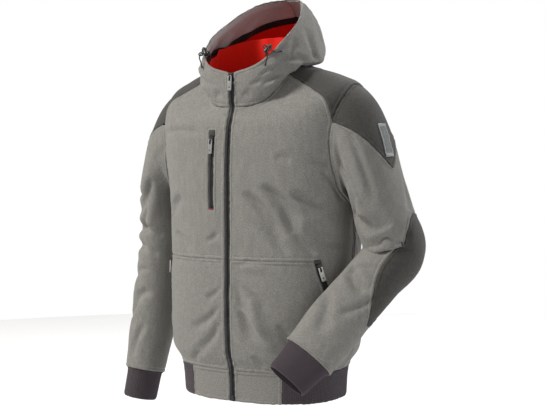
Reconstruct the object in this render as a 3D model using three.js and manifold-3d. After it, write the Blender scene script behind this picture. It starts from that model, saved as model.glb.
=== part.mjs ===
// A hooded softshell jacket, filled out as if worn, in millimetres with +Z up.
// The wearer faces -Y and the wearer's left is +X. The origin is on the body's upright
// middle line, level with the top of the front zip, between the shoulders that hold it up.
import * as THREE from 'three';
import { mergeVertices } from 'three/addons/utils/BufferGeometryUtils.js';
import Module from 'manifold-3d';

// Driving dimensions
const CLOTH = 1.8;            // bonded softshell cloth
const RIB = 2.2;              // knitted hem and cuff rib
const LINING = 1.0;           // thin lining, facing and tape
const PATCH = 1.2;            // what lies on a panel
const SEAM = 0.3;             // gap between pieces at a seam
const LIFT = 0.35;            // gap under what lies on a panel
const ZIP_WIDTH = 11.6;       // front zip tape that shows
const POCKET_ZIP_WIDTH = 12.6;
const CHEST_ZIP_MIDDLE = 38;  // from the front zip to the chest zip
const TAPE_WIDTH = 15;        // seam tape between hood facing and hood lining
const ARM_STEP = 18;          // degrees between sections round an armhole and a sleeve
const NECK = 12;              // level of the neck seam on the torso
const WAIST_SEAM = 1;         // level of the seam over the hem
const POUCH_SEAM = 4;         // level of the seam over the pouch pockets
const CHEST_ZIP_LEVELS = { low: 5, high: 8 };
const SIDE_SEAM = 92;         // degrees round from the front
const HEM_JOIN = 40;          // where the plain front hem meets the ribbed hem
const YOKE_FRONT = 73;        // yoke edges on the neck seam, degrees from the front
const YOKE_BACK = 115;
const HOOD_SEAM = 152;        // hood side seam on the neck seam
const JUNCTION = 72;          // where yoke, cap and armhole seams meet, degrees round the armhole

const { degToRad } = THREE.MathUtils;
const clamp = (x, low, high) => Math.min(high, Math.max(low, x));
const mix = (a, b, t) => a + (b - a) * t;
const ease = (t) => { const c = clamp(t, 0, 1); return c * c * (3 - 2 * c); };
const table = (columns, rows) => rows.map((row) => Object.fromEntries(columns.map((c, i) => [c, row[i]])));

// Smooth curve through one column of a table, read at any value of its first column
function column(rows, name) {
  const key = Object.keys(rows[0])[0];
  const xs = rows.map((r) => r[key]);
  const ys = rows.map((r) => r[name]);
  const last = xs.length - 1;
  const slope = xs.map((_, i) => {
    const a = Math.max(0, i - 1);
    const b = Math.min(last, i + 1);
    return (ys[b] - ys[a]) / (xs[b] - xs[a]);
  });
  return (x) => {
    let i = 0;
    while (i < last - 1 && x > xs[i + 1]) i += 1;
    const h = xs[i + 1] - xs[i];
    const t = clamp((x - xs[i]) / h, 0, 1);
    const u = 1 - t;
    return ys[i] * u * u * (1 + 2 * t) + slope[i] * h * t * u * u
      + ys[i + 1] * t * t * (3 - 2 * t) - slope[i + 1] * h * t * t * u;
  };
}
function columns(rows) {
  const curves = Object.fromEntries(Object.keys(rows[0]).slice(1).map((name) => [name, column(rows, name)]));
  return (x) => Object.fromEntries(Object.entries(curves).map(([name, curve]) => [name, curve(x)]));
}

// Torso: level sections from hem to neck. Heights and depths differ at front, side and back.
const TORSO = table(
  ['level', 'zFront', 'zSide', 'zBack', 'halfWidth', 'front', 'middle', 'back', 'square'],
  [[0, -641, -642, -641, 167, -127, 0, 122, 2.4],
    [1, -580, -581, -580, 173, -131, 0, 127, 2.4],
    [2, -540, -538, -540, 195, -143, 0, 142, 2.4],
    [3, -460, -460, -460, 199, -147, 0, 146, 2.4],
    [4, -362, -362, -362, 197, -146, 0, 142, 2.4],
    [5, -268, -270, -270, 200, -146, 0, 140, 2.4],
    [6, -196, -195, -190, 206, -146, 2, 142, 2.5],
    [7, -146, -125, -120, 211, -144, 5, 141, 2.6],
    [8, -112, -62, -60, 211, -141, 8, 132, 2.6],
    [9, -98, -22, -12, 201, -138, 8, 112, 2.5],
    [10, -86, -5, 10, 168, -134, 0, 88, 2.4],
    [11, -76, 8, 21, 128, -130, -16, 68, 2.2],
    [12, -67, 18, 28, 88, -127, -38, 50, 2.1]],
);
const torsoAt = columns(TORSO);
function torsoForm(angle, level) {
  const row = torsoAt(level);
  const s = Math.sin(degToRad(angle));
  const c = Math.cos(degToRad(angle));
  const depth = c > 0 ? row.middle - row.front : row.back - row.middle;
  const reach = ((Math.abs(s) / row.halfWidth) ** row.square + (Math.abs(c) / depth) ** row.square)
    ** (-1 / row.square);
  const zEnd = c > 0 ? row.zFront : row.zBack;
  return new THREE.Vector3(reach * s, row.middle - reach * c, mix(row.zSide, zEnd, ease(Math.abs(c))));
}

function formNormal(form, p, q) {
  const STEP = 0.01;
  const along = form(p + STEP, q).sub(form(p - STEP, q));
  const up = form(p, q + STEP).sub(form(p, q - STEP));
  return along.cross(up).normalize();
}

// Folds: each is a soft trough (depth below zero) or ridge along a bowed line on a form
function foldsOn(form, rows) {
  const lines = rows.map((fold) => {
    const from = form(fold.fromA, fold.fromB);
    const to = form(fold.toA, fold.toB);
    const run = to.clone().sub(from);
    const normal = formNormal(form, (fold.fromA + fold.toA) / 2, (fold.fromB + fold.toB) / 2);
    const side = normal.cross(run).normalize().multiplyScalar(fold.bow);
    return { ...fold, from, run, side, lengthSq: run.lengthSq() };
  });
  return (point) => lines.reduce((sum, line) => {
    const offset = point.clone().sub(line.from);
    const t = clamp(offset.dot(line.run) / line.lengthSq, 0, 1);
    const gap = offset.addScaledVector(line.run, -t).addScaledVector(line.side, -4 * t * (1 - t));
    return sum + line.depth * (1 - (2 * t - 1) ** 4) * Math.exp(-gap.lengthSq() / line.width ** 2);
  }, 0);
}
const FOLD_COLUMNS = ['fromA', 'fromB', 'toA', 'toB', 'bow', 'width', 'depth'];

// Torso folds: from and to are degrees round the body and levels
const TORSO_FOLDS = table(FOLD_COLUMNS, [
  [14, 5.5, 42, 4.4, 8, 13, -5],
  [28, 5.7, 50, 4.6, 9, 14, -6],
  [46, 5.5, 66, 5.2, -5, 12, -4],
  [8, 3.6, 22, 2.3, -7, 13, -4],
  [20, 3.3, 38, 2.1, -8, 14, 4],
  [344, 3.6, 322, 2.0, 10, 15, -5],
  [352, 3.0, 336, 1.9, 8, 12, -4],
  [318, 5.3, 296, 4.8, -6, 14, -4],
  [130, 5.6, 165, 4.7, 8, 18, -5],
  [232, 5.4, 200, 4.4, -8, 18, -5],
  [150, 3.4, 205, 3.1, 10, 20, -5],
  [112, 3.2, 128, 2.1, -8, 16, -4],
]);
const torsoFolds = foldsOn(torsoForm, TORSO_FOLDS);
function torso(angle, level) {
  const point = torsoForm(angle, level);
  return point.addScaledVector(formNormal(torsoForm, angle, level), torsoFolds(point));
}

// Armhole: a closed loop on the torso, angle 0 at the shoulder, 90 at the front, 180 underarm
// with straight runs between its sections, so that all the pieces round it meet exactly.
const ARMHOLE = { angle: 90.5, level: 7.1, halfAngle: 25.5, halfLevel: 1.9 };
function armhole(turn) {
  const section = Math.floor(turn / ARM_STEP);
  const [a, b] = [section, section + 1].map((i) => degToRad(i * ARM_STEP));
  const t = turn / ARM_STEP - section;
  return [ARMHOLE.angle - ARMHOLE.halfAngle * mix(Math.sin(a), Math.sin(b), t),
    ARMHOLE.level + ARMHOLE.halfLevel * mix(Math.cos(a), Math.cos(b), t)];
}

// Hood and collar: each rib runs from the neck seam out, up and in to the opening's edge
const HOOD = table(
  ['angle', 'edgeX', 'edgeY', 'edgeZ', 'baseOut', 'baseUp', 'edgeOut', 'edgeUp'],
  [[4, 6, -130, 0, 3, 20, 3, -18],
    [30, 51, -126, 14, 8, 22, 5, -22],
    [55, 76, -109, 36, 38, 8, 10, -26],
    [73, 86, -86, 58, 60, -8, 4, -32],
    [90, 91, -56, 80, 74, -13, 2, -36],
    [115, 84, -8, 110, 95, -17, 8, -40],
    [135, 69, 26, 134, 110, -24, 24, -36],
    [158, 42, 64, 155, 126, -34, 62, -22],
    [180, 0, 84, 162, 130, -38, 86, -12]],
);
const hoodAt = columns(HOOD);
function hoodForm(angle, rise) {
  const row = hoodAt(angle);
  const heading = new THREE.Vector3(Math.sin(degToRad(angle)), -Math.cos(degToRad(angle)), 0);
  const base = torso(angle, NECK);
  const edge = new THREE.Vector3(row.edgeX, row.edgeY, row.edgeZ);
  const low = base.clone().addScaledVector(heading, row.baseOut);
  low.z += row.baseUp;
  const high = edge.clone().addScaledVector(heading, row.edgeOut);
  high.z += row.edgeUp;
  return new THREE.CubicBezierCurve3(base, low, high, edge).getPoint(clamp(rise, -0.02, 1.02));
}
// The rise at a distance below the opening's edge, measured along the cloth
function riseBelowEdge(angle, distance) {
  const STEP = 0.01;
  let rise = 1;
  let last = hoodForm(angle, rise);
  let gone = 0;
  while (gone < distance) {
    rise -= STEP;
    const point = hoodForm(angle, rise);
    gone += point.distanceTo(last);
    last = point;
  }
  return rise;
}

// Hood folds: degrees round the neck and rise from 0 at the neck seam to 1 at the edge
const HOOD_FOLDS = table(FOLD_COLUMNS, [
  [38, 0.42, 74, 0.3, 6, 7, -4],
  [44, 0.2, 80, 0.1, 5, 7, -3],
  [104, 0.25, 122, 0.8, 8, 12, -4],
  [60, 0.75, 92, 0.35, 5, 9, -3],
]);
const hoodFolds = foldsOn(hoodForm, HOOD_FOLDS);
function hood(angle, rise) {
  const point = hoodForm(angle, rise);
  const fade = ease(rise * 6) * ease((1 - rise) * 8);
  return point.addScaledVector(formNormal(hoodForm, angle, rise), fade * hoodFolds(point));
}

// Sleeves: sections from the armhole to the end of the cuff. Turn tilts the broad axis.
const SLEEVE_COLUMNS = ['place', 'x', 'y', 'z', 'broad', 'deep', 'turn'];
const LEFT_SLEEVE = table(SLEEVE_COLUMNS, [
  [0, 204, 2, -136, 100, 78, 0],
  [0.1, 218, 0, -158, 68, 78, 0],
  [0.24, 250, -2, -222, 45, 78, 0],
  [0.38, 267, 6, -288, 52, 72, 0],
  [0.5, 281, 20, -346, 54, 64, 0],
  [0.58, 262, -30, -390, 55, 50, -15],
  [0.74, 232, -102, -455, 54, 38, -35],
  [0.9, 191, -167, -532, 52, 28, -38],
  [0.9001, 191, -167, -532, 47, 25, -38],
  [1, 167, -206, -572, 41, 22, -38],
]);
const RIGHT_SLEEVE = table(SLEEVE_COLUMNS, [
  [0, 204, 2, -136, 100, 78, 0],
  [0.1, 216, 2, -158, 66, 78, 0],
  [0.24, 248, 6, -226, 42, 77, 0],
  [0.4, 256, 14, -318, 48, 69, 0],
  [0.54, 262, 6, -402, 49, 62, 0],
  [0.7, 272, -9, -498, 48, 54, 0],
  [0.84, 278, -28, -585, 42, 46, 0],
  [0.9, 279, -36, -617, 40, 42, 0],
  [0.9001, 279, -36, -617, 36, 38, 0],
  [1, 287, -44, -676, 34, 36, 0],
]);
const SLEEVE_END = 0.9;       // place of the seam between sleeve and cuff
const BLEND = 0.26;           // place where the armhole's own outline has faded out
const LEAD = new THREE.Vector3(0.86, 0, -0.5).multiplyScalar(300);

// The path's frames are carried along it without twist from the armhole down
function sleeveForm(rows) {
  const at = columns(rows);
  const centre = (s) => { const r = at(s); return new THREE.Vector3(r.x, r.y, r.z); };
  const COUNT = 100;
  const STEP = 0.004;
  const frames = [];
  let up = new THREE.Vector3(0, 0, 1);
  for (let i = 0; i <= COUNT; i += 1) {
    const s = i / COUNT;
    const tangent = centre(Math.min(1, s + STEP)).sub(centre(Math.max(0, s - STEP))).normalize();
    up = up.clone().addScaledVector(tangent, -up.dot(tangent)).normalize();
    frames.push({ up, fore: tangent.clone().cross(up) });
  }
  return (turn, s) => {
    const place = clamp(s, 0, 1);
    const row = at(place);
    const i = clamp(Math.floor(place * COUNT), 0, COUNT - 1);
    const t = place * COUNT - i;
    const up1 = frames[i].up.clone().lerp(frames[i + 1].up, t).normalize();
    const fore = frames[i].fore.clone().lerp(frames[i + 1].fore, t).normalize();
    const tilt = degToRad(row.turn);
    const broadAxis = up1.clone().multiplyScalar(Math.cos(tilt)).addScaledVector(fore, Math.sin(tilt));
    const deepAxis = fore.clone().multiplyScalar(Math.cos(tilt)).addScaledVector(up1, -Math.sin(tilt));
    const around = degToRad(turn) - tilt;
    const ring = centre(place).addScaledVector(broadAxis, row.broad * Math.cos(around))
      .addScaledVector(deepAxis, row.deep * Math.sin(around));
    if (place >= BLEND) return ring;
    const seam = torso(...armhole(turn)).addScaledVector(LEAD, place);
    return seam.lerp(ring, ease(place / BLEND));
  };
}

// Sleeve folds: degrees round the sleeve (0 outside, 90 front) and place along it
const LEFT_SLEEVE_FOLDS = table(FOLD_COLUMNS, [
  [96, 0.18, 40, 0.4, -10, 11, -5],
  [128, 0.3, 60, 0.47, 8, 12, -5],
  [150, 0.44, 40, 0.5, 6, 10, -8],
  [160, 0.52, 60, 0.56, 6, 10, -9],
  [110, 0.62, 40, 0.68, -8, 12, -5],
  [120, 0.72, 60, 0.84, 6, 12, -4],
  [250, 0.4, 300, 0.5, 8, 13, -4],
]);
const RIGHT_SLEEVE_FOLDS = table(FOLD_COLUMNS, [
  [100, 0.2, 50, 0.34, -8, 12, -4],
  [130, 0.42, 30, 0.4, 10, 12, -5],
  [120, 0.5, 20, 0.47, 10, 11, -5],
  [110, 0.62, 40, 0.72, 8, 13, -4],
  [250, 0.45, 320, 0.4, 8, 13, -4],
]);
function sleeve(rows, folds) {
  const form = sleeveForm(rows);
  const relief = foldsOn(form, folds);
  return (turn, place) => {
    const point = form(turn, place);
    const fade = ease(place * 8) * ease((SLEEVE_END - place) * 20);
    if (fade === 0) return point;
    return point.addScaledVector(formNormal(form, turn, place), fade * relief(point));
  };
}
const leftSleeve = sleeve(LEFT_SLEEVE, LEFT_SLEEVE_FOLDS);
const rightSleeve = sleeve(RIGHT_SLEEVE, RIGHT_SLEEVE_FOLDS);

// A wall on a form: outer and inner skins over the kept cells of a grid, closed by a rim
function wall(form, grid, { mirror = false, keep = () => true, wrap = false, out = 0, thick = CLOTH,
  inset = SEAM / 2 } = {}) {
  const across = grid[0].length;
  const flip = mirror ? -1 : 1;
  const nodes = grid.flat().map(([p, q]) => {
    const point = form(p, q);
    const normal = formNormal(form, p, q);
    point.x *= flip;
    normal.x *= flip;
    return { at: [p, q], point, normal, turn: normal.clone().multiplyScalar(flip), moves: [] };
  });
  const cells = [];
  for (let j = 0; j + 1 < grid.length; j += 1) {
    for (let i = 0; i + 1 < across + (wrap ? 1 : 0); i += 1) {
      if (keep(i, j)) {
        const next = (i + 1) % across;
        cells.push([j * across + i, j * across + next, (j + 1) * across + next, (j + 1) * across + i]);
      }
    }
  }
  const edges = cells.flatMap((cell) => cell.map((a, k) => [a, cell[(k + 1) % 4]]));
  const known = new Set(edges.map(([a, b]) => `${a} ${b}`));
  const rim = edges.filter(([a, b]) => !known.has(`${b} ${a}`));
  rim.forEach(([a, b]) => {
    const run = nodes[b].point.clone().sub(nodes[a].point);
    [a, b].forEach((k) => nodes[k].moves.push(nodes[k].turn.clone().cross(run).normalize()));
  });
  const used = [...new Set(cells.flat())];
  const order = new Map(used.map((k, i) => [k, i]));
  const outer = used.map((k) => {
    const { at, point, normal, moves } = nodes[k];
    const moved = point.clone().addScaledVector(normal, typeof out === 'function' ? out(...at) : out);
    if (moves.length >= 2) {
      const both = moves[0].clone().add(moves[1]).divideScalar(1 + Math.max(0, moves[0].dot(moves[1])));
      moved.addScaledVector(both, inset);
    }
    return moved;
  });
  const inner = outer.map((point, i) => point.clone().addScaledVector(nodes[used[i]].normal, -thick));
  const faces = [];
  const count = used.length;
  const quad = (a, b, c, d) => faces.push([a, b, c], [a, c, d]);
  cells.forEach((cell) => {
    const [a, b, c, d] = cell.map((k) => order.get(k));
    quad(a, b, c, d);
    quad(a + count, d + count, c + count, b + count);
  });
  rim.forEach(([k, m]) => {
    const a = order.get(k);
    const b = order.get(m);
    quad(b, a, a + count, b + count);
  });
  return solid([...outer, ...inner], mirror ? faces.map(([a, b, c]) => [a, c, b]) : faces);
}
function solid(points, faces) {
  const geometry = new THREE.BufferGeometry();
  geometry.setAttribute('position', new THREE.Float32BufferAttribute(points.flatMap((p) => p.toArray()), 3));
  geometry.setIndex(faces.flat());
  geometry.computeVertexNormals();
  return geometry;
}

const steps = (from, to, count) => Array.from({ length: count + 1 }, (_, i) => mix(from, to, i / count));
const chain = (...runs) => runs.flatMap((run, i) => (i ? run.slice(1) : run));
const gridOf = (ps, qs) => qs.map((q) => ps.map((p) => [p, q]));

// Materials, by eye from the real cloth and trims
function material(color, roughness, metalness = 0) {
  return new THREE.MeshStandardMaterial({ color, roughness, metalness });
}
const greyCloth = material(0x94928c, 0.9);
const darkCloth = material(0x484644, 0.9);
const ribKnit = material(0x4c4549, 0.95);
const redLining = material(0xe0230f, 0.85);
const facingCloth = material(0x8c8785, 0.9);
const blackTape = material(0x100c0c, 0.8);
const zipTape = material(0x2e2c2d, 0.6);
const zipMetal = material(0x3a393a, 0.4, 0.5);
const pullMetal = material(0xd2d0ca, 0.35, 0.9);
const badgeCloth = material(0x787a7a, 0.85);
const lockPlastic = material(0x222222, 0.5);
const cordKnit = material(0x1c1c1c, 0.85);

const group = new THREE.Group();
function piece(name, geometry, finish) {
  const mesh = new THREE.Mesh(geometry, finish);
  mesh.name = name;
  group.add(mesh);
  return mesh;
}
const SIDES = [{ side: 'left', mirror: false }, { side: 'right', mirror: true }];

// Fronts: rows run straight from the zip to the outer edge, along yoke, armhole and side seam
const sideDepth = (level) => { const row = torsoAt(level); return row.middle - row.front; };
const angleAt = (x, level) => THREE.MathUtils.radToDeg(Math.atan(x / sideDepth(level)));
const PANEL_GAP = ZIP_WIDTH / 2 + 0.2;
const POCKET_LINE = table(['level', 'angle'],
  [[0, 82], [1, 80], [2, 78], [3, 72], [4, 62], [5, 56], [8, 47], [12, 45]]);
const pocketAngle = column(POCKET_LINE, 'angle');
const POCKET_HALF = THREE.MathUtils.radToDeg(POCKET_ZIP_WIDTH / 2 / 186);
const YOKE_ROWS = 4;
const YOKE_BOW = 5;           // degrees that the yoke's seams bow towards the front and back
function yokeSeam(u, t) {
  const [armAngle, armLevel] = armhole(mix(JUNCTION, -JUNCTION, u));
  const bow = YOKE_BOW * 4 * t * (1 - t) * (1 - 2 * u);
  return [mix(mix(YOKE_FRONT, YOKE_BACK, u), armAngle, t) - bow, mix(NECK, armLevel, t)];
}
const ARM_ROWS = (180 - JUNCTION) / ARM_STEP;
const SIDE_LEVELS = [4.6, 4, 3.5, 3, 2.5, 2, 1.5, 1];
const FRONT_ROWS = [
  ...steps(0, 1, YOKE_ROWS).map((t) => ({ zip: mix(NECK, CHEST_ZIP_LEVELS.high, t), edge: yokeSeam(0, t) })),
  ...steps(0, 1, ARM_ROWS).slice(1).map((t) => ({ zip: mix(CHEST_ZIP_LEVELS.high, CHEST_ZIP_LEVELS.low, t),
    edge: armhole(mix(JUNCTION, 180, t)) })),
  ...SIDE_LEVELS.map((level) => ({ zip: Math.min(level, 4.5), edge: [SIDE_SEAM, level] })),
];
const CHEST_ROWS = [YOKE_ROWS, YOKE_ROWS + ARM_ROWS];
const POUCH_ROW = YOKE_ROWS + ARM_ROWS + 1 + SIDE_LEVELS.indexOf(POUCH_SEAM);
const POCKET_END_ROW = FRONT_ROWS.length - 2;
const CHEST_COLUMN = 1;
const POCKET_COLUMN = 7;
function frontAngles(level, edge) {
  const zip = angleAt(PANEL_GAP, level);
  const chest = [-1, 1].map((s) => angleAt(CHEST_ZIP_MIDDLE + s * POCKET_ZIP_WIDTH / 2, level));
  const pocket = pocketAngle(level);
  return [zip, ...steps(chest[0], chest[1], 1), ...steps(chest[1], pocket - POCKET_HALF, 5).slice(1),
    pocket + POCKET_HALF, ...steps(pocket + POCKET_HALF, edge, 2).slice(1)];
}
const frontGrid = FRONT_ROWS.map(({ zip, edge }) => {
  const angles = frontAngles(zip, edge[0]);
  const first = angles[0];
  return angles.map((angle) => [angle, mix(zip, edge[1], (angle - first) / (edge[0] - first))]);
}).reverse();
const ROW_COUNT = frontGrid.length - 1;
const rowFromTop = (j) => ROW_COUNT - 1 - j;
const inRows = (j, from, to) => rowFromTop(j) >= from && rowFromTop(j) < to;
const isPouch = (i, j) => rowFromTop(j) >= POUCH_ROW
  && (i < POCKET_COLUMN || (i === POCKET_COLUMN && rowFromTop(j) >= POCKET_END_ROW));
const isPocketZip = (i, j) => i === POCKET_COLUMN && inRows(j, POUCH_ROW, POCKET_END_ROW);
const isChestZip = (i, j) => i === CHEST_COLUMN && inRows(j, ...CHEST_ROWS);
SIDES.forEach(({ side, mirror }) => {
  const hole = (i, j) => isPouch(i, j) || isPocketZip(i, j) || (mirror && isChestZip(i, j));
  piece(`front_${side}`, wall(torso, frontGrid, { mirror, keep: (i, j) => !hole(i, j) }), greyCloth);
  piece(`pouch_${side}`, wall(torso, frontGrid, { mirror, keep: isPouch }), greyCloth);
  piece(`pocket_zip_${side}`, wall(torso, frontGrid,
    { mirror, keep: isPocketZip, out: -0.3, thick: 1.4 }), zipTape);
});
piece('chest_zip', wall(torso, frontGrid, { mirror: true, keep: isChestZip, out: -0.3, thick: 1.4 }), zipTape);

// Back: rows from side to side, on the same seams as the fronts
const backGrid = [
  ...steps(0, 1, YOKE_ROWS).map((t) => yokeSeam(1, t)),
  ...steps(0, 1, ARM_ROWS).slice(1).map((t) => armhole(mix(360 - JUNCTION, 180, t))),
  ...SIDE_LEVELS.map((level) => [SIDE_SEAM, level]),
].map(([edge, level], row) => {
  const hoodSeam = mix(HOOD_SEAM, 164, clamp(row / YOKE_ROWS, 0, 1));
  const half = chain(steps(edge, hoodSeam, 4), steps(hoodSeam, 180, 2));
  return [...half, ...half.slice(0, -1).reverse().map((angle) => 360 - angle)].map((angle) => [angle, level]);
}).reverse();
piece('back', wall(torso, backGrid), greyCloth);

// Yokes: dark shoulder pieces from the neck seam out to the top of the armhole
const YOKE_COLUMNS = (2 * JUNCTION) / ARM_STEP;
const yokeGrid = steps(1, 0, YOKE_ROWS).map((t) => steps(0, 1, YOKE_COLUMNS).map((u) => yokeSeam(u, t)));
SIDES.forEach(({ side, mirror }) => {
  piece(`yoke_${side}`, wall(torso, yokeGrid, { mirror }), darkCloth);
});

// Hem: plain bands beside the zip, ribbed knit round the sides and back
const hemLevels = steps(0, WAIST_SEAM, 3);
const pouchAngles = frontGrid[0].map(([angle]) => angle);
const joinIndex = pouchAngles.findIndex((angle) => angle > HEM_JOIN);
const bandAngles = pouchAngles.slice(0, joinIndex + 1);
const ribHalf = [...pouchAngles.slice(joinIndex), ...backGrid[0].slice(1).map(([angle]) => angle)];
const ribAngles = [...ribHalf, ...pouchAngles.slice(joinIndex, -1).reverse().map((angle) => 360 - angle)];
SIDES.forEach(({ side, mirror }) => {
  piece(`hem_band_${side}`, wall(torso, gridOf(bandAngles, hemLevels), { mirror }), greyCloth);
});
piece('hem_rib', wall(torso, gridOf(ribAngles, hemLevels), { thick: RIB }), ribKnit);

// Sleeves: grey tube with an elbow patch let in, dark cap over the shoulder and ribbed cuff
const CAP_LENGTH = 0.22;      // place of the cap's lowest point
const CAP_BOW = 0.4;          // below 1, its lower seam bows down the sleeve
const CAP_END = JUNCTION - 2;
const capAtSection = (turn) => {
  const offset = Math.abs(turn > 180 ? turn - 360 : turn);
  return CAP_LENGTH * Math.max(0, 1 - offset / JUNCTION) ** CAP_BOW;
};
function capPlace(turn) {
  const section = Math.floor(turn / ARM_STEP);
  const [a, b] = [section, section + 1].map((i) => capAtSection((i * ARM_STEP + 360) % 360));
  return mix(a, b, turn / ARM_STEP - section);
}
const PATCHES = {
  left: { from: 0.375, to: 0.735, halfAngle: 70, endRows: 3 },
  right: { from: 0.36, to: 0.66, halfAngle: 40, endRows: 5 },
};
const FRONT_OF_SLEEVE = 90;   // the grid's first column runs down the front
const PATCH_COLUMNS = [10, 18];
const PATCH_TIP = 6;          // half angle of a patch's pointed end
const PATCH_BOW = 0.75;       // below 1, the patch is blunter than a sine's half wave
const PATCH_CLEAR = 0.4;      // share of a patch's length in which the columns spread out again
const PATCH_LEAD = 0.05;      // place between the last plain row and a patch's end
const PATCH_ROWS = 8;
const TOP_ROWS = 5;
const CUFF_ROWS = 4;
const columnTurn = (i) => FRONT_OF_SLEEVE + i * ARM_STEP;
function patchTurn(i, place, { from, to, halfAngle }) {
  const [first, last] = PATCH_COLUMNS;
  const t = (place - from) / (to - from);
  const full = (last - first) / 2 * ARM_STEP;
  const past = Math.max(0, -t, t - 1);
  const round = halfAngle * Math.sin(Math.PI * clamp(t, 0, 1)) ** PATCH_BOW;
  const half = past > 0 ? mix(PATCH_TIP, full, Math.min(1, past / PATCH_CLEAR)) : Math.max(PATCH_TIP, round);
  const middle = columnTurn((first + last) / 2);
  if (i >= first && i <= last) return middle + half * mix(-1, 1, (i - first) / (last - first));
  const beyond = i > last ? i - last : i - last + 360 / ARM_STEP;
  return middle - 360 + half + (360 - 2 * half) * beyond / (360 / ARM_STEP - last + first);
}
function sleeveGridFor(patch) {
  const sections = Array.from({ length: 360 / ARM_STEP }, (_, i) => i);
  const topEnd = patch.from - PATCH_LEAD;
  const topRows = steps(0, 1, TOP_ROWS).map((t) => sections.map((i) => [
    patchTurn(i, mix(CAP_LENGTH, topEnd, t), patch), mix(capPlace(columnTurn(i)), topEnd, t)]));
  const places = chain([topEnd, patch.from], steps(patch.from, patch.to, PATCH_ROWS),
    steps(patch.to, SLEEVE_END, patch.endRows));
  const lowRows = places.map((place) => sections.map((i) => [patchTurn(i, place, patch), place]));
  return [...topRows.slice(0, -1), ...lowRows];
}
const capTurns = [-CAP_END, ...steps(-JUNCTION + ARM_STEP, JUNCTION - ARM_STEP, YOKE_COLUMNS - 2), CAP_END];
const capGrid = steps(0, 1, 5).map((t) => capTurns.map((turn) => [turn, t * capPlace(turn)]));
const cuffTurns = steps(0, 360 - ARM_STEP, 360 / ARM_STEP - 1);
const CUFF_START = 0.906;     // the cuff is gathered in from the sleeve's end to here
const cuffGrid = gridOf(cuffTurns, [SLEEVE_END, ...steps(CUFF_START, 1, CUFF_ROWS)]);
const BADGE = { from: -9, to: 11, top: 0.138, bottom: 0.198 };
SIDES.forEach(({ side, mirror }) => {
  const form = mirror ? rightSleeve : leftSleeve;
  const sleeveGrid = sleeveGridFor(PATCHES[side]);
  const isPatch = (i, j) => i >= PATCH_COLUMNS[0] && i < PATCH_COLUMNS[1]
    && j > TOP_ROWS && j <= TOP_ROWS + PATCH_ROWS;
  const tube = wall(form, sleeveGrid, { mirror, wrap: true, keep: (i, j) => !isPatch(i, j) });
  piece(`sleeve_${side}`, tube, greyCloth);
  piece(`elbow_patch_${side}`, wall(form, sleeveGrid, { mirror, keep: isPatch }), darkCloth);
  piece(`sleeve_cap_${side}`, wall(form, capGrid, { mirror }), darkCloth);
  piece(`cuff_${side}`, wall(form, cuffGrid, { mirror, wrap: true, thick: RIB }), ribKnit);
});
const badgeGrid = gridOf(steps(BADGE.from, BADGE.to, 4), steps(BADGE.top, BADGE.bottom, 4));
piece('sleeve_badge', wall(leftSleeve, badgeGrid, { out: LIFT + PATCH, thick: PATCH }), badgeCloth);

// Hood: two side panels and a centre panel, with facing, tape, lining and inner collar
const neckFront = frontGrid[ROW_COUNT].map(([angle]) => angle);
const neckYoke = steps(YOKE_FRONT, YOKE_BACK, YOKE_COLUMNS);
const neckBack = backGrid[backGrid.length - 1].map(([angle]) => angle).filter((angle) => angle <= 180);
const neckStops = chain(neckFront, neckYoke, neckBack);
const rises = [0, 0.07, 0.16, 0.27, 0.39, 0.52, 0.65, 0.77, 0.89, 1];
const seamIndex = neckStops.indexOf(HOOD_SEAM);
const bothSides = (stops) => [...stops, ...stops.slice(0, -1).reverse().map((angle) => 360 - angle)];
const roundHood = (form) => (angle, rise) => {
  if (angle <= 180) return form(angle, rise);
  const point = form(360 - angle, rise);
  point.x *= -1;
  return point;
};
const wholeHood = roundHood(hood);
SIDES.forEach(({ side, mirror }) => {
  piece(`hood_${side}`, wall(hood, gridOf(neckStops.slice(0, seamIndex + 1), rises), { mirror }), greyCloth);
});
piece('hood_centre', wall(wholeHood, gridOf(bothSides(neckStops.slice(seamIndex)), rises)), greyCloth);

const FACING = table(['angle', 'facing', 'tape'],
  [[50, 8, 4], [62, 16, 11], [73, 25, TAPE_WIDTH], [95, 42, TAPE_WIDTH], [120, 56, TAPE_WIDTH],
    [180, 62, TAPE_WIDTH]]);
const facingAt = columns(FACING);
const fold = (angle) => (angle > 180 ? 360 - angle : angle);
const facingRise = (angle) => riseBelowEdge(fold(angle), facingAt(fold(angle)).facing);
const tapeRise = (angle) => {
  const widths = facingAt(fold(angle));
  return riseBelowEdge(fold(angle), widths.facing + widths.tape);
};
const FACING_START = 50;
const hoodRound = bothSides(neckStops);
const facingRound = hoodRound.filter((angle) => fold(angle) >= FACING_START);
const between = (stops, low, high, count) => steps(0, 1, count)
  .map((t) => stops.map((angle) => [angle, mix(low(angle), high(angle), t)]));
const RIM_GAP = 0.8;
const SLACK = 3;
const slackAt = (rise) => SLACK * ease((1 - rise) * 12) * ease(rise * 8);
const inside = { out: (_, rise) => -(CLOTH + RIM_GAP + slackAt(rise)), thick: LINING };
const EDGE_TURN = 0.995;      // the lining stops just short of the edge, and just above the neck seam
const LINING_FOOT = 0.03;
const facingGrid = between(facingRound, facingRise, () => EDGE_TURN, 3);
piece('hood_facing', wall(wholeHood, facingGrid, inside), facingCloth);
piece('hood_tape', wall(wholeHood, between(facingRound, tapeRise, facingRise, 1), inside), blackTape);
const liningTop = (angle) => (fold(angle) < FACING_START ? EDGE_TURN : tapeRise(angle));
piece('hood_lining', wall(wholeHood, between(hoodRound, () => LINING_FOOT, liningTop, 7), inside), redLining);

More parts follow.
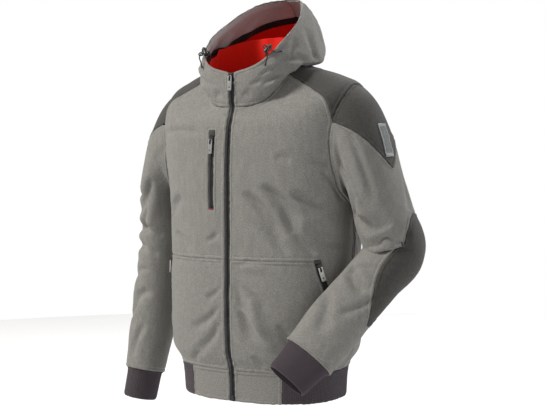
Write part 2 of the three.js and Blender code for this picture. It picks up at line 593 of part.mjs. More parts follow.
// Inner collar: a stand of lining round the back of the neck, free along its top. It starts
// below the neck seam, where it is the back neck facing.
const COLLAR = table(['angle', 'foot', 'height', 'lean', 'inset'],
  [[45, 2, 62, 12, 4.6], [60, -2, 58, 5, 4.4], [75, -8, 50, -1, 3.2], [90, -14, 57, -4, 1.4],
    [115, -18, 71, -2, 1.5], [150, -20, 80, 5, 2.4], [180, -20, 82, 8, 2.8]]);
const collarAt = columns(COLLAR);
const COLLAR_ROWS = 4;
function collar(angle, rise) {
  const { foot, height, lean, inset } = collarAt(fold(angle));
  const point = roundHood((a) => torso(a, NECK))(angle, 0);
  const heading = new THREE.Vector3(Math.sin(degToRad(angle)), -Math.cos(degToRad(angle)), 0);
  point.addScaledVector(heading, lean * rise - inset);
  point.z += foot + height * rise;
  return point;
}
const collarStops = hoodRound.filter((angle) => fold(angle) >= COLLAR[0].angle);
const collarGrid = gridOf(collarStops, steps(0, 1, COLLAR_ROWS));
piece('collar_lining', wall(collar, collarGrid, { thick: LINING }), redLining);

// Front zip: one tape from the hem up the body and the collar, with a box at its foot
const ZIP_ANGLE = neckStops[0];
const ZIP_THICK = 1.6;
function zipLine(x, rise) {
  const centre = rise <= NECK ? torso(0, Math.max(0, rise)) : hood(ZIP_ANGLE, rise - NECK);
  return new THREE.Vector3(x, centre.y, centre.z);
}
const zipRises = chain(hemLevels, FRONT_ROWS.map(({ zip }) => zip).reverse(), rises.map((rise) => NECK + rise));
const zipSides = [-ZIP_WIDTH / 2, ZIP_WIDTH / 2];
const zipGrid = gridOf(zipSides, zipRises);
piece('front_zip', wall(zipLine, zipGrid, { out: 0.2, thick: ZIP_THICK, inset: 0 }), zipTape);

// Zip hardware: a local frame on a zip has x across it, y up along it and z out of the cloth
function seat(form, p, q, lift, mirror = false) {
  const point = form(p, q);
  const out = formNormal(form, p, q);
  const up = form(p, q + 0.02).sub(form(p, q - 0.02));
  if (mirror) [point, out, up].forEach((v) => { v.x *= -1; });
  const across = up.clone().cross(out).normalize();
  up.copy(out).cross(across);
  return new THREE.Matrix4().makeBasis(across, up, out).setPosition(point.addScaledVector(out, lift));
}
const wasm = await Module();
wasm.setup();
function toManifold(geometry) {
  const bare = geometry.clone();
  bare.deleteAttribute('normal');
  bare.deleteAttribute('uv');
  const merged = mergeVertices(bare, 1e-4);
  return new wasm.Manifold(new wasm.Mesh({ numProp: 3, vertProperties: merged.attributes.position.array,
    triVerts: new Uint32Array(merged.index.array) }));
}
function fromManifold(shape) {
  const mesh = shape.getMesh();
  const geometry = new THREE.BufferGeometry();
  geometry.setAttribute('position', new THREE.Float32BufferAttribute(mesh.vertProperties, 3));
  geometry.setIndex(Array.from(mesh.triVerts));
  geometry.computeVertexNormals();
  return geometry;
}
function plate(outline, depth, holes = []) {
  const shape = new THREE.Shape(outline.map(([x, y]) => new THREE.Vector2(x, y)));
  holes.forEach((hole) => shape.holes.push(new THREE.Path(hole.map(([x, y]) => new THREE.Vector2(x, y)))));
  return new THREE.ExtrudeGeometry(shape, { depth, bevelEnabled: false }).translate(0, 0, -depth / 2);
}
const box = (halfX, low, high) => [[-halfX, low], [halfX, low], [halfX, high], [-halfX, high]];
function roundEnds(halfX, low, high, corner) {
  const arc = (x, y, from) => steps(from, from + 90, 3).map((a) => [x + corner * Math.cos(degToRad(a)),
    y + corner * Math.sin(degToRad(a))]);
  return [...arc(halfX - corner, high - corner, 0), ...arc(corner - halfX, high - corner, 90),
    ...arc(corner - halfX, low + corner, 180), ...arc(halfX - corner, low + corner, 270)];
}

const SLIDER = { halfWidth: 4.6, length: 13, thick: 2.6, loopRadius: 2.9, loopHole: 1.5, loopWidth: 2.4 };
const PULL = { halfWidth: 4.6, thick: 1.3, top: 0.7, window: 9, length: 27, windowHalf: 2.1, pin: 0.65 };
const HINGE_LIFT = SLIDER.thick + 1.7;
const sliderBody = plate([[-SLIDER.halfWidth, SLIDER.length / 2], [-SLIDER.halfWidth * 0.7, -SLIDER.length / 2],
  [SLIDER.halfWidth * 0.7, -SLIDER.length / 2], [SLIDER.halfWidth, SLIDER.length / 2]], SLIDER.thick)
  .translate(0, 0, SLIDER.thick / 2);
const circle = (radius, count) => steps(0, 360 - 360 / count, count - 1)
  .map((a) => [radius * Math.cos(degToRad(a)), radius * Math.sin(degToRad(a))]);
const loopHole = circle(SLIDER.loopHole, 10).reverse();
const sliderLoop = plate(circle(SLIDER.loopRadius, 14), SLIDER.loopWidth, [loopHole])
  .rotateY(Math.PI / 2).translate(0, 0, HINGE_LIFT);
const sliderShape = fromManifold(toManifold(sliderBody).add(toManifold(sliderLoop)));
const pullShape = plate(roundEnds(PULL.halfWidth, -PULL.length, PULL.top, 1.2), PULL.thick,
  [box(PULL.windowHalf, -PULL.window, -PULL.pin).reverse(),
    circle(1.3, 8).map(([x, y]) => [x, y * 1.5 - PULL.length + 6]).reverse()])
  .translate(0, 0, HINGE_LIFT);

const ACROSS = 186;           // radius that turns a width on the torso's side into degrees
const pocketLine = (x, level) => torso(pocketAngle(level) + THREE.MathUtils.radToDeg(x / ACROSS), level);
const chestLine = (x, level) => torso(angleAt(CHEST_ZIP_MIDDLE + x, level), level);
const ZIPS = [
  { name: 'front', form: zipLine, rise: NECK + 0.86, lift: 0.55 },
  { name: 'chest', form: chestLine, rise: 7.4, lift: 0.05, mirror: true },
  { name: 'pocket_left', form: pocketLine, rise: 3.88, lift: 0.05 },
  { name: 'pocket_right', form: pocketLine, rise: 3.88, lift: 0.05, mirror: true },
];
ZIPS.forEach(({ name, form, rise, lift, mirror }) => {
  const place = seat(form, 0, rise, lift, mirror);
  piece(`${name}_slider`, sliderShape, zipMetal).applyMatrix4(place);
  piece(`${name}_pull`, pullShape, pullMetal).applyMatrix4(place);
});
const ZIP_BOX = { halfWidth: 5, halfLength: 5, thick: 3 };
piece('zip_box', plate(roundEnds(ZIP_BOX.halfWidth, -ZIP_BOX.halfLength, ZIP_BOX.halfLength, 1), ZIP_BOX.thick)
  .translate(0, 0, ZIP_BOX.thick / 2), lockPlastic).applyMatrix4(seat(zipLine, 0, 0.12, 0.55));

// Garages: small cloth covers over the top ends of the chest and pocket zips
const GARAGE = { halfWidth: 6.9, out: 1.5, thick: 1 };
[{ name: 'chest_garage', form: chestLine, levels: [7.64, 8.05], mirror: true },
  { name: 'pocket_garage_left', form: pocketLine, levels: [3.96, 4.04] },
  { name: 'pocket_garage_right', form: pocketLine, levels: [3.96, 4.04], mirror: true },
].forEach(({ name, form, levels, mirror }) => {
  const grid = gridOf(steps(-GARAGE.halfWidth, GARAGE.halfWidth, 2), steps(levels[0], levels[1], 2));
  piece(name, wall(form, grid, { mirror, out: GARAGE.out, thick: GARAGE.thick }), darkCloth);
});

// Cord locks: a barrel on the opening's edge, a sprung button, and the drawcord's two free ends
const LOCK = { angle: 50, above: 12, radius: 4.8, length: 16, bevel: 1.2, slot: 4.2, slotLong: 8.4 };
const BORE = { radius: 3.3, depth: 4.6 };
const EYE = { radius: 3.1, tube: 1.1, beside: 2.6 };
const BUTTON = { radius: 2.9, length: 5, proud: 3.4, bevel: 0.7 };
const CORD_DIAMETER = 2.4;
const TIP = { radius: 1.8, length: 7, bevel: 0.5 };
const turned = (profile) => new THREE.LatheGeometry(profile.map(([x, y]) => new THREE.Vector2(x, y)), 10);
const rod = (radius, low, high, footBevel, headBevel) => turned([[0, low], [radius - footBevel, low],
  [radius, low + footBevel], [radius, high - headBevel], [radius - headBevel, high], [0, high]]);
const half = LOCK.length / 2;
const barrel = rod(LOCK.radius, -half, half, LOCK.bevel, LOCK.bevel);
const bore = turned([[0, half - BORE.depth], [BORE.radius, half - BORE.depth], [BORE.radius, LOCK.length],
  [0, LOCK.length]]);
const slot = new THREE.BoxGeometry(LOCK.slot, LOCK.slotLong, 4 * LOCK.radius);
const eye = new THREE.TorusGeometry(EYE.radius, EYE.tube, 6, 12).translate(-LOCK.radius - EYE.beside, 0, 0);
const lockShape = fromManifold(toManifold(barrel).add(toManifold(eye)).subtract(toManifold(bore))
  .subtract(toManifold(slot)));
const buttonTop = half + BUTTON.proud;
const buttonShape = rod(BUTTON.radius, buttonTop - BUTTON.length, buttonTop, BUTTON.bevel, BUTTON.bevel);
const lockAxis = new THREE.Vector3(0.566, 0.34, 0.75).normalize();
const lockOut = new THREE.Vector3(Math.sin(degToRad(LOCK.angle)), -Math.cos(degToRad(LOCK.angle)), 0);
const lockAcross = lockAxis.clone().cross(lockOut).normalize();
const lockThrough = lockAcross.clone().cross(lockAxis);
const lockMiddle = hood(LOCK.angle, 1).add(new THREE.Vector3(0, 0, LOCK.above));
const lockPlace = new THREE.Matrix4().makeBasis(lockAcross, lockAxis, lockThrough).setPosition(lockMiddle);

// Cord routes on the wearer's left, chosen by hand: each end leaves an eyelet in the lining, turns
// up and over the edge through the lock's slot, and hangs down the outside of the hood
const CORDS = {
  a: table(['x', 'y', 'z'], [
    [71.6, -107.7, 22.8], [69.2, -105.8, 23.4], [67.1, -104.2, 25.3], [65.9, -103.5, 28.2],
    [65.5, -103.5, 31.6], [65.3, -103.8, 35], [65.3, -104.3, 38.4], [66.1, -105.5, 41.5],
    [67.6, -107.2, 43.9], [69.8, -109.5, 44.9], [72, -111.9, 44.6], [74.3, -114.3, 44],
    [76.7, -116.6, 43.2], [79.4, -118, 42], [82.3, -117.8, 40.5], [84.7, -116.1, 39.1],
    [86, -113.5, 38], [86.6, -110.3, 37.3], [86.8, -107.1, 37.1], [87.2, -103.8, 37.4],
    [87.9, -100.6, 38], [89, -97.6, 38.8]]),
  b: table(['x', 'y', 'z'], [
    [69.4, -110.3, 22.8], [67, -108.4, 23.4], [65, -106.8, 25.2], [63.7, -105.9, 28],
    [63.3, -105.8, 31.2], [63.4, -106.2, 34.5], [64.1, -107.1, 37.7], [65.6, -108.6, 40.3],
    [67.7, -110.6, 41.9], [70, -112.9, 42.1], [72.3, -115.4, 41.5], [74.6, -117.7, 40.6],
    [76.6, -119.9, 39.2], [78.1, -121.7, 36.9], [78.7, -122.9, 33.9], [78.4, -123.4, 30.7],
    [77.3, -123.3, 27.5], [76, -123.1, 24.3], [74.9, -123, 21], [74, -122.9, 17.7]]),
};
const CORD_STEPS = 22;
const cordSection = new THREE.Shape(circle(CORD_DIAMETER / 2, 8).map(([x, y]) => new THREE.Vector2(x, y)));
const tipShape = rod(TIP.radius, -TIP.length / 2, TIP.length / 2, TIP.bevel, TIP.bevel);
const mirrorX = new THREE.Matrix4().makeScale(-1, 1, 1);
function handed(geometry, mirror) {
  if (!mirror) return geometry;
  const copy = geometry.clone().applyMatrix4(mirrorX);
  const index = copy.index ? Array.from(copy.index.array)
    : Array.from({ length: copy.attributes.position.count }, (_, i) => i);
  for (let i = 0; i < index.length; i += 3) [index[i + 1], index[i + 2]] = [index[i + 2], index[i + 1]];
  copy.setIndex(index);
  copy.computeVertexNormals();
  return copy;
}
SIDES.forEach(({ side, mirror }) => {
  piece(`lock_${side}`, handed(lockShape.clone().applyMatrix4(lockPlace), mirror), lockPlastic);
  piece(`lock_button_${side}`, handed(buttonShape.clone().applyMatrix4(lockPlace), mirror), lockPlastic);
  Object.entries(CORDS).forEach(([end, route]) => {
    const path = new THREE.CatmullRomCurve3(route.map(({ x, y, z }) => new THREE.Vector3(x, y, z)));
    const cord = new THREE.ExtrudeGeometry(cordSection, { steps: CORD_STEPS, extrudePath: path });
    const tangent = path.getTangent(1);
    const tipMiddle = path.getPoint(1).addScaledVector(tangent, SEAM + TIP.length / 2);
    const tipTurn = new THREE.Quaternion().setFromUnitVectors(new THREE.Vector3(0, 1, 0), tangent);
    const tip = tipShape.clone().applyQuaternion(tipTurn).translate(...tipMiddle.toArray());
    piece(`cord_${side}_${end}`, handed(cord, mirror), cordKnit);
    piece(`cord_tip_${side}_${end}`, handed(tip, mirror), lockPlastic);
  });
});

export default group;
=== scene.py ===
# A hooded softshell jacket, zipped up and filled out as if worn, with nobody in it. Sizes are in
# millimetres, as the cutter has them, and become metres where a mesh or a place is made.
import math
import bpy
import numpy as np
from mathutils import Matrix, Vector
from mathutils.kdtree import KDTree


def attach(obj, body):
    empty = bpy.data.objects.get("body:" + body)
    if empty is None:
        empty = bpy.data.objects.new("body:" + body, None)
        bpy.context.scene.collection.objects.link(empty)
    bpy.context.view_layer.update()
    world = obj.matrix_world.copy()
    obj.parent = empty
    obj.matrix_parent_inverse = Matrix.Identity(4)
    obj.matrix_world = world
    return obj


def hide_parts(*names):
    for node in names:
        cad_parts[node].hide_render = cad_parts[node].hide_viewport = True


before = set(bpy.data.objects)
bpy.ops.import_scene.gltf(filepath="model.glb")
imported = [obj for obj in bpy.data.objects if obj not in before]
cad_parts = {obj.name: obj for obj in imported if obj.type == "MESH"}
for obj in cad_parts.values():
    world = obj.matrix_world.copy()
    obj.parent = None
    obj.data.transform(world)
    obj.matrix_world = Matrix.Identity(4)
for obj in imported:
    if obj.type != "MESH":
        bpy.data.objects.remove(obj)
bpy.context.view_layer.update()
MM = 0.001

# The photographer's view: from the wearer's front left, level with the chest, 2.5 m off. The jacket
# hangs over a wide pale floor, lit by three large lamps and softly by a studio that looks white.
VIEW_TURN = 31                # degrees round from the front
VIEW_REACH = 2500
VIEW_HEIGHT = -142
VIEW_SWING = 0.33             # degrees that the lens points off the body's middle
VIEW_DIP = 2.74
LENS, SENSOR = 81.2, 36.0     # gives 1231 pixels of focal length across 546
FLOOR_BELOW = -790
view_heading = math.radians(VIEW_TURN)
lens_data = bpy.data.cameras.new("view")
lens_data.lens, lens_data.sensor_width = LENS, SENSOR
lens_data.clip_start = 0.05
view = bpy.data.objects.new("view", lens_data)
view.location = (VIEW_REACH * MM * math.sin(view_heading), -VIEW_REACH * MM * math.cos(view_heading),
                 VIEW_HEIGHT * MM)
view.rotation_euler = (math.radians(90 - VIEW_DIP), 0, math.radians(VIEW_TURN - VIEW_SWING))
bpy.context.scene.collection.objects.link(view)
bpy.context.scene.camera = view
bpy.context.scene.view_settings.view_transform = "Standard"


def lamp(name, place, size, power, tint):
    data = bpy.data.lights.new(name, "AREA")
    data.shape, data.size, data.energy, data.color = "DISK", size, power, tint
    light = bpy.data.objects.new(name, data)
    light.location = place
    light.rotation_euler = (Vector((0, 0, -0.3)) - Vector(place)).to_track_quat("-Z", "Y").to_euler()
    bpy.context.scene.collection.objects.link(light)


lamp("key_lamp", (-1.8, -2.1, 2.5), 0.8, 165, (1.0, 0.985, 0.96))
lamp("fill_lamp", (3.0, -0.6, 0.6), 1.8, 12, (0.96, 0.98, 1.0))
lamp("back_lamp", (1.2, 2.8, 1.9), 1.4, 90, (1.0, 1.0, 1.0))
studio = bpy.data.worlds.new("studio")
studio.use_nodes = True
BACKDROP, AMBIENT = 1.0, 0.36  # how white the world looks, and how much it lights
bpy.context.scene.world = studio


def node(tree, kind, inputs, **settings):
    """Adds a node, with its settings and with its inputs linked or set."""
    made = tree.nodes.new(kind)
    for key, value in settings.items():
        setattr(made, key, value)
    for key, value in inputs.items():
        if isinstance(value, bpy.types.NodeSocket):
            tree.links.new(value, made.inputs[key])
        else:
            made.inputs[key].default_value = value
    return made


seen = node(studio.node_tree, "ShaderNodeLightPath", {}).outputs["Is Camera Ray"]
glow = node(studio.node_tree, "ShaderNodeMath", {0: seen, 1: BACKDROP - AMBIENT, 2: AMBIENT},
            operation="MULTIPLY_ADD")
backdrop = studio.node_tree.nodes["Background"].inputs
backdrop["Color"].default_value = (1.0, 1.0, 1.0, 1.0)
studio.node_tree.links.new(glow.outputs[0], backdrop["Strength"])


def tinted(red, green, blue):
    """A colour as seen on a screen, 0 to 255, as the shader wants it."""
    return [((c / 255 + 0.055) / 1.055) ** 2.4 for c in (red, green, blue)] + [1.0]


def finish_of(name, roughness, metallic=0.0, sheen=0.0, specular=0.35):
    """A new material, with its node tree and shader."""
    material = bpy.data.materials.new(name)
    material.use_nodes = True
    tree = material.node_tree
    shader = tree.nodes["Principled BSDF"]
    for socket, value in (("Roughness", roughness), ("Metallic", metallic), ("Sheen Weight", sheen),
                          ("Specular IOR Level", specular), ("Sheen Roughness", 0.45)):
        shader.inputs[socket].default_value = value
    return material, tree, shader


def ramp(tree, factor, *stops):
    """Colours in order along a factor, each stop a place and a colour."""
    made = node(tree, "ShaderNodeValToRGB", {"Fac": factor})
    band = made.color_ramp
    while len(band.elements) < len(stops):
        band.elements.new(0.5)
    for element, (place, colour) in zip(band.elements, stops):
        element.position, element.color = place, colour
    return made.outputs["Color"]


def stretched(tree, scale):
    """The cloth's own lengths in metres, across and along, times a scale for each."""
    lengths = node(tree, "ShaderNodeAttribute", {}, attribute_name="weave")
    return node(tree, "ShaderNodeMapping", {"Vector": lengths.outputs["Vector"],
                                            "Scale": scale}).outputs["Vector"]


def bump(tree, shader, height, depth, strength=1.0):
    """Fine relief, depth in millimetres."""
    made = node(tree, "ShaderNodeBump", {"Height": height, "Distance": depth * MM, "Strength": strength})
    tree.links.new(made.outputs["Normal"], shader.inputs["Normal"])
    return made


floor_paint, tree, shader = finish_of("floor_paint", 0.9)
speck = node(tree, "ShaderNodeTexNoise", {"Scale": 3.0, "Detail": 2.0}).outputs["Fac"]
tree.links.new(ramp(tree, speck, (0.3, tinted(236, 236, 237)), (0.7, tinted(240, 240, 240))),
               shader.inputs["Base Color"])
floor_mesh = bpy.data.meshes.new("floor")
FLOOR_RADIUS, FLOOR_SIDES = 2.3, 64
floor_ring = [(FLOOR_RADIUS * math.cos(2 * math.pi * i / FLOOR_SIDES),
               FLOOR_RADIUS * math.sin(2 * math.pi * i / FLOOR_SIDES), FLOOR_BELOW * MM)
              for i in range(FLOOR_SIDES)]
floor_mesh.from_pydata(floor_ring, [], [list(range(FLOOR_SIDES))])
floor_mesh.materials.append(floor_paint)
floor = bpy.data.objects.new("floor", floor_mesh)
bpy.context.scene.collection.objects.link(floor)

# The drawcord's four free ends: 2.4 mm braided elastic cord, black. Each leaves an eyelet in the
# lining, turns up and over the hood's edge through the cord lock, and hangs down outside. A short
# moulded tip is crimped on each end.
CORD_DIAMETER = 2.4
CORD_ROUTES = {
    "a": [(71.6, -107.7, 22.8), (69.2, -105.8, 23.4), (67.1, -104.2, 25.3), (65.9, -103.5, 28.2),
          (65.5, -103.5, 31.6), (65.3, -103.8, 35.0), (65.3, -104.3, 38.4), (66.1, -105.5, 41.5),
          (67.6, -107.2, 43.9), (69.8, -109.5, 44.9), (72.0, -111.9, 44.6), (74.3, -114.3, 44.0),
          (76.7, -116.6, 43.2), (79.4, -118.0, 42.0), (82.3, -117.8, 40.5), (84.7, -116.1, 39.1),
          (86.0, -113.5, 38.0), (86.6, -110.3, 37.3), (86.8, -107.1, 37.1), (87.2, -103.8, 37.4),
          (87.9, -100.6, 38.0), (89.0, -97.6, 38.8)],
    "b": [(69.4, -110.3, 22.8), (67.0, -108.4, 23.4), (65.0, -106.8, 25.2), (63.7, -105.9, 28.0),
          (63.3, -105.8, 31.2), (63.4, -106.2, 34.5), (64.1, -107.1, 37.7), (65.6, -108.6, 40.3),
          (67.7, -110.6, 41.9), (70.0, -112.9, 42.1), (72.3, -115.4, 41.5), (74.6, -117.7, 40.6),
          (76.6, -119.9, 39.2), (78.1, -121.7, 36.9), (78.7, -122.9, 33.9), (78.4, -123.4, 30.7),
          (77.3, -123.3, 27.5), (76.0, -123.1, 24.3), (74.9, -123.0, 21.0), (74.0, -122.9, 17.7)],
}
BRAID_TURN = 7.0              # length in which a strand of the braid goes once round
BRAID_STRANDS = 4             # in each direction
BRAID_DEPTH = 0.05
TIP_PROFILE = [(0, 0), (1.45, 0.05), (1.7, 0.5), (1.7, 1.6), (1.5, 1.85), (1.5, 2.2), (1.72, 2.45),
               (1.8, 3.6),
               (1.76, 5.4), (1.55, 6.5), (1.1, 6.92), (0, 7)]    # radius, and length from the cord
TIP_GAP = 0.3


def unit(v):
    return v / np.maximum(np.linalg.norm(v, axis=-1, keepdims=True), 1e-9)


def smooth_route(points, count):
    """A smooth curve through points, as evenly spaced points."""
    points = np.array(points, float)
    ends = np.vstack([2 * points[0] - points[1], points, 2 * points[-1] - points[-2]])
    fine = []
    for a, b, c, d in zip(ends, ends[1:], ends[2:], ends[3:]):
        t = np.linspace(0, 1, 12, endpoint=False)[:, None]
        fine.append(0.5 * (2 * b + (c - a) * t + (2 * a - 5 * b + 4 * c - d) * t ** 2
                           + (3 * b - a - 3 * c + d) * t ** 3))
    fine = np.vstack(fine + [points[-1:]])
    gone = np.concatenate([[0], np.cumsum(np.linalg.norm(np.diff(fine, axis=0), axis=1))])
    even = np.linspace(0, gone[-1], count)
    return np.stack([np.interp(even, gone, fine[:, k]) for k in range(3)], -1), gone[-1]


def cloth_mesh(name, points, faces, weave=None, smooth=True):
    """An object of points in millimetres and faces, with the cloth's own lengths where it has them."""
    mesh = bpy.data.meshes.new(name)
    mesh.from_pydata((np.asarray(points) * MM).tolist(), [], [list(map(int, f)) for f in faces])
    if weave is not None:
        lengths = mesh.attributes.new("weave", "FLOAT_VECTOR", "POINT")
        lengths.data.foreach_set("vector", (np.asarray(weave, np.float32) * MM).ravel())
    mesh.polygons.foreach_set("use_smooth", [smooth] * len(mesh.polygons))
    mesh.update()
    made = bpy.data.objects.new(name, mesh)
    bpy.context.scene.collection.objects.link(made)
    return made


def fit(made, material, slot, *nodes, body="jacket"):
    """Gives a piece its finish, its body and the solids that it stands for."""
    made.data.materials.append(material)
    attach(made, body)
    if nodes:
        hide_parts(*nodes)
    return made


def frames_along(route):
    """Two directions square to a route at each point, carried along it without twist."""
    ahead = unit(np.gradient(route, axis=0))
    side = unit(np.cross(ahead[0], [0.3, 0.2, 0.9]))
    sides = []
    for direction in ahead:
        side = unit(side - direction * side.dot(direction))
        sides.append(side)
    sides = np.array(sides)
    return sides, np.cross(ahead, sides)


def tube(name, route, radii, sides):
    """A closed tube of rings round a route, radii one for each ring and side."""
    across, up = frames_along(route)
    turn = np.linspace(0, 2 * math.pi, sides, endpoint=False)
    ring = (np.cos(turn)[None, :, None] * across[:, None] + np.sin(turn)[None, :, None] * up[:, None])
    points = (route[:, None] + ring * radii[..., None]).reshape(-1, 3)
    along = np.concatenate([[0], np.cumsum(np.linalg.norm(np.diff(route, axis=0), axis=1))])
    weave = np.stack(np.broadcast_arrays(turn[None], along[:, None], 0.0), -1).reshape(-1, 3)
    rows = len(route)
    faces = [(j * sides + i, j * sides + (i + 1) % sides, (j + 1) * sides + (i + 1) % sides,
              (j + 1) * sides + i)
             for j in range(rows - 1) for i in range(sides)]
    faces.append(tuple(reversed(range(sides))))
    faces.append(tuple(range((rows - 1) * sides, rows * sides)))
    return cloth_mesh(name, points, faces, weave)


def turned(name, profile, sides, place):
    """A turned form: radius and height from foot to head, stood on its place, a 4 by 4 matrix in mm."""
    turn = np.linspace(0, 2 * math.pi, sides, endpoint=False)
    inner = np.array(profile[1:-1], float)
    rings = np.stack([inner[:, :1] * np.cos(turn), inner[:, :1] * np.sin(turn),
                      np.repeat(inner[:, 1:], sides, 1)], -1).reshape(-1, 3)
    points = np.vstack([rings, [[0, 0, profile[0][1]], [0, 0, profile[-1][1]]]])
    foot, head, rows = len(rings), len(rings) + 1, len(inner)
    faces = [(j * sides + i, j * sides + (i + 1) % sides, (j + 1) * sides + (i + 1) % sides,
              (j + 1) * sides + i)
             for j in range(rows - 1) for i in range(sides)]
    faces += [(foot, (i + 1) % sides, i) for i in range(sides)]
    faces += [(head, (rows - 1) * sides + i, (rows - 1) * sides + (i + 1) % sides) for i in range(sides)]
    place = np.array(place)
    return cloth_mesh(name, points @ place[:3, :3].T + place[:3, 3], faces, points)


cord_knit, tree, shader = finish_of("cord_knit", 0.8, sheen=0.2)
strands = [node(tree, "ShaderNodeTexWave", {"Vector": stretched(tree, (600.0, turn * 900.0, 0.0)),
                                            "Scale": 0.35},
                bands_direction="DIAGONAL").outputs["Fac"] for turn in (1, -1)]
plait = node(tree, "ShaderNodeMath", {0: strands[0], 1: strands[1]}, operation="MAXIMUM").outputs[0]
tree.links.new(ramp(tree, plait, (0.2, tinted(16, 15, 16)), (0.95, tinted(46, 44, 46))),
               shader.inputs["Base Color"])
bump(tree, shader, plait, 0.12)

black_plastic, tree, shader = finish_of("black_plastic", 0.42, specular=0.5)
grain = node(tree, "ShaderNodeTexNoise", {"Scale": 2600.0, "Detail": 3.0}).outputs["Fac"]
tree.links.new(ramp(tree, grain, (0.3, tinted(22, 22, 24)), (0.75, tinted(36, 36, 38))),
               shader.inputs["Base Color"])
bump(tree, shader, grain, 0.02)

for side, across in (("left", 1), ("right", -1)):
    for end, points in CORD_ROUTES.items():
        route, length = smooth_route(np.array(points) * (across, 1, 1), 170)
        gone = np.linspace(0, length, 170)[:, None]
        turn = np.linspace(0, 2 * math.pi, 16, endpoint=False)[None]
        plait_over = np.maximum(
            np.sin(BRAID_STRANDS * turn + 2 * math.pi * gone / BRAID_TURN * BRAID_STRANDS),
            np.sin(BRAID_STRANDS * turn - 2 * math.pi * gone / BRAID_TURN * BRAID_STRANDS))
        cord = tube(f"drawcord_{side}_{end}", route, CORD_DIAMETER / 2 - BRAID_DEPTH * (1 - plait_over), 16)
        fit(cord, cord_knit, "cord_knit", f"cord_{side}_{end}")
        heading = unit(route[-1] - route[-3])
        upright = Vector(heading).to_track_quat("Z", "Y").to_matrix().to_4x4()
        upright.translation = Vector(route[-1] + heading * TIP_GAP)
        tip = turned(f"drawcord_tip_{side}_{end}", TIP_PROFILE, 24, upright)
        fit(tip, black_plastic, "plastic", f"cord_tip_{side}_{end}")

# Cord locks: a moulded barrel with a slot through it, an eye at one side that is tacked to the hood's
# edge, and a sprung button in its top that lets the cord go when it is pressed.
LOCK_MIDDLE = (71.9, -113.4, 43.0)     # on the left; the right one mirrors it
LOCK_PROFILE = [(0, -8), (3.5, -8), (4.2, -7.7), (4.65, -7.1), (4.8, -6.3), (4.8, 4.6), (4.62, 4.9),
                (4.62, 5.5),
                (4.8, 5.8), (4.8, 6.9), (4.6, 7.5), (4.2, 7.9), (3.5, 8), (3.3, 7.9), (3.25, 3.6), (0, 3.5)]
BUTTON_PROFILE = [(0, 6.4), (2.9, 6.4), (2.9, 10.5), (2.72, 11.0), (2.3, 11.35), (1.4, 11.5), (0, 11.55)]
LOCK_SLOT = (4.2, 8.4, 16.0)           # across, along the barrel, and through it
LOCK_EYE = (3.1, 1.1, 7.4)             # radius, wire radius, and distance from the barrel's axis
lock_axis = Vector((0.566, 0.34, 0.75)).normalized()
lock_out = Vector((math.sin(math.radians(50)), -math.cos(math.radians(50)), 0))
lock_across = lock_axis.cross(lock_out).normalized()
lock_through = lock_across.cross(lock_axis)


def shaped(made, kind, **settings):
    """Runs one modifier on a piece and keeps its result."""
    modifier = made.modifiers.new(kind.lower(), kind)
    for key, value in settings.items():
        setattr(modifier, key, value)
    result = bpy.data.meshes.new_from_object(made.evaluated_get(bpy.context.evaluated_depsgraph_get()))
    made.modifiers.clear()
    made.data = result
    return made


for side, across in (("left", 1), ("right", -1)):
    place = Matrix((lock_through, lock_across, lock_axis)).transposed().to_4x4()
    place.translation = Vector(LOCK_MIDDLE)
    mirrored = Matrix.Diagonal((across, 1, 1, 1)) @ place
    barrel = turned(f"cord_lock_{side}", LOCK_PROFILE, 40, Matrix.Identity(4))
    bpy.ops.mesh.primitive_torus_add(major_radius=LOCK_EYE[0] * MM, minor_radius=LOCK_EYE[1] * MM,
                                     major_segments=32, minor_segments=12, rotation=(0, math.pi / 2, 0),
                                     location=(0, -LOCK_EYE[2] * MM, 0))
    eye = bpy.context.object
    bpy.ops.mesh.primitive_cube_add(size=1, scale=(LOCK_SLOT[2] * MM, LOCK_SLOT[0] * MM, LOCK_SLOT[1] * MM))
    slot = bpy.context.object
    shaped(slot, "BEVEL", width=0.0008, segments=3)
    bpy.context.view_layer.update()
    shaped(barrel, "BOOLEAN", object=eye, operation="UNION", solver="EXACT")
    shaped(barrel, "BOOLEAN", object=slot, operation="DIFFERENCE", solver="EXACT")
    for tool in (eye, slot):
        bpy.data.objects.remove(tool)
    shaped(barrel, "BEVEL", width=0.00018, segments=2, limit_method="ANGLE", angle_limit=math.radians(38))
    in_metres = mirrored.copy()
    in_metres.translation = mirrored.translation * MM
    barrel.data.transform(in_metres)
    if across < 0:
        barrel.data.flip_normals()
    barrel.data.polygons.foreach_set("use_smooth", [True] * len(barrel.data.polygons))
    fit(barrel, black_plastic, "plastic", f"lock_{side}")
    button = turned(f"cord_lock_button_{side}", BUTTON_PROFILE, 32, np.array(mirrored))
    if across < 0:
        button.data.flip_normals()
    fit(button, black_plastic, "plastic", f"lock_button_{side}", body=f"lock_button_{side}")

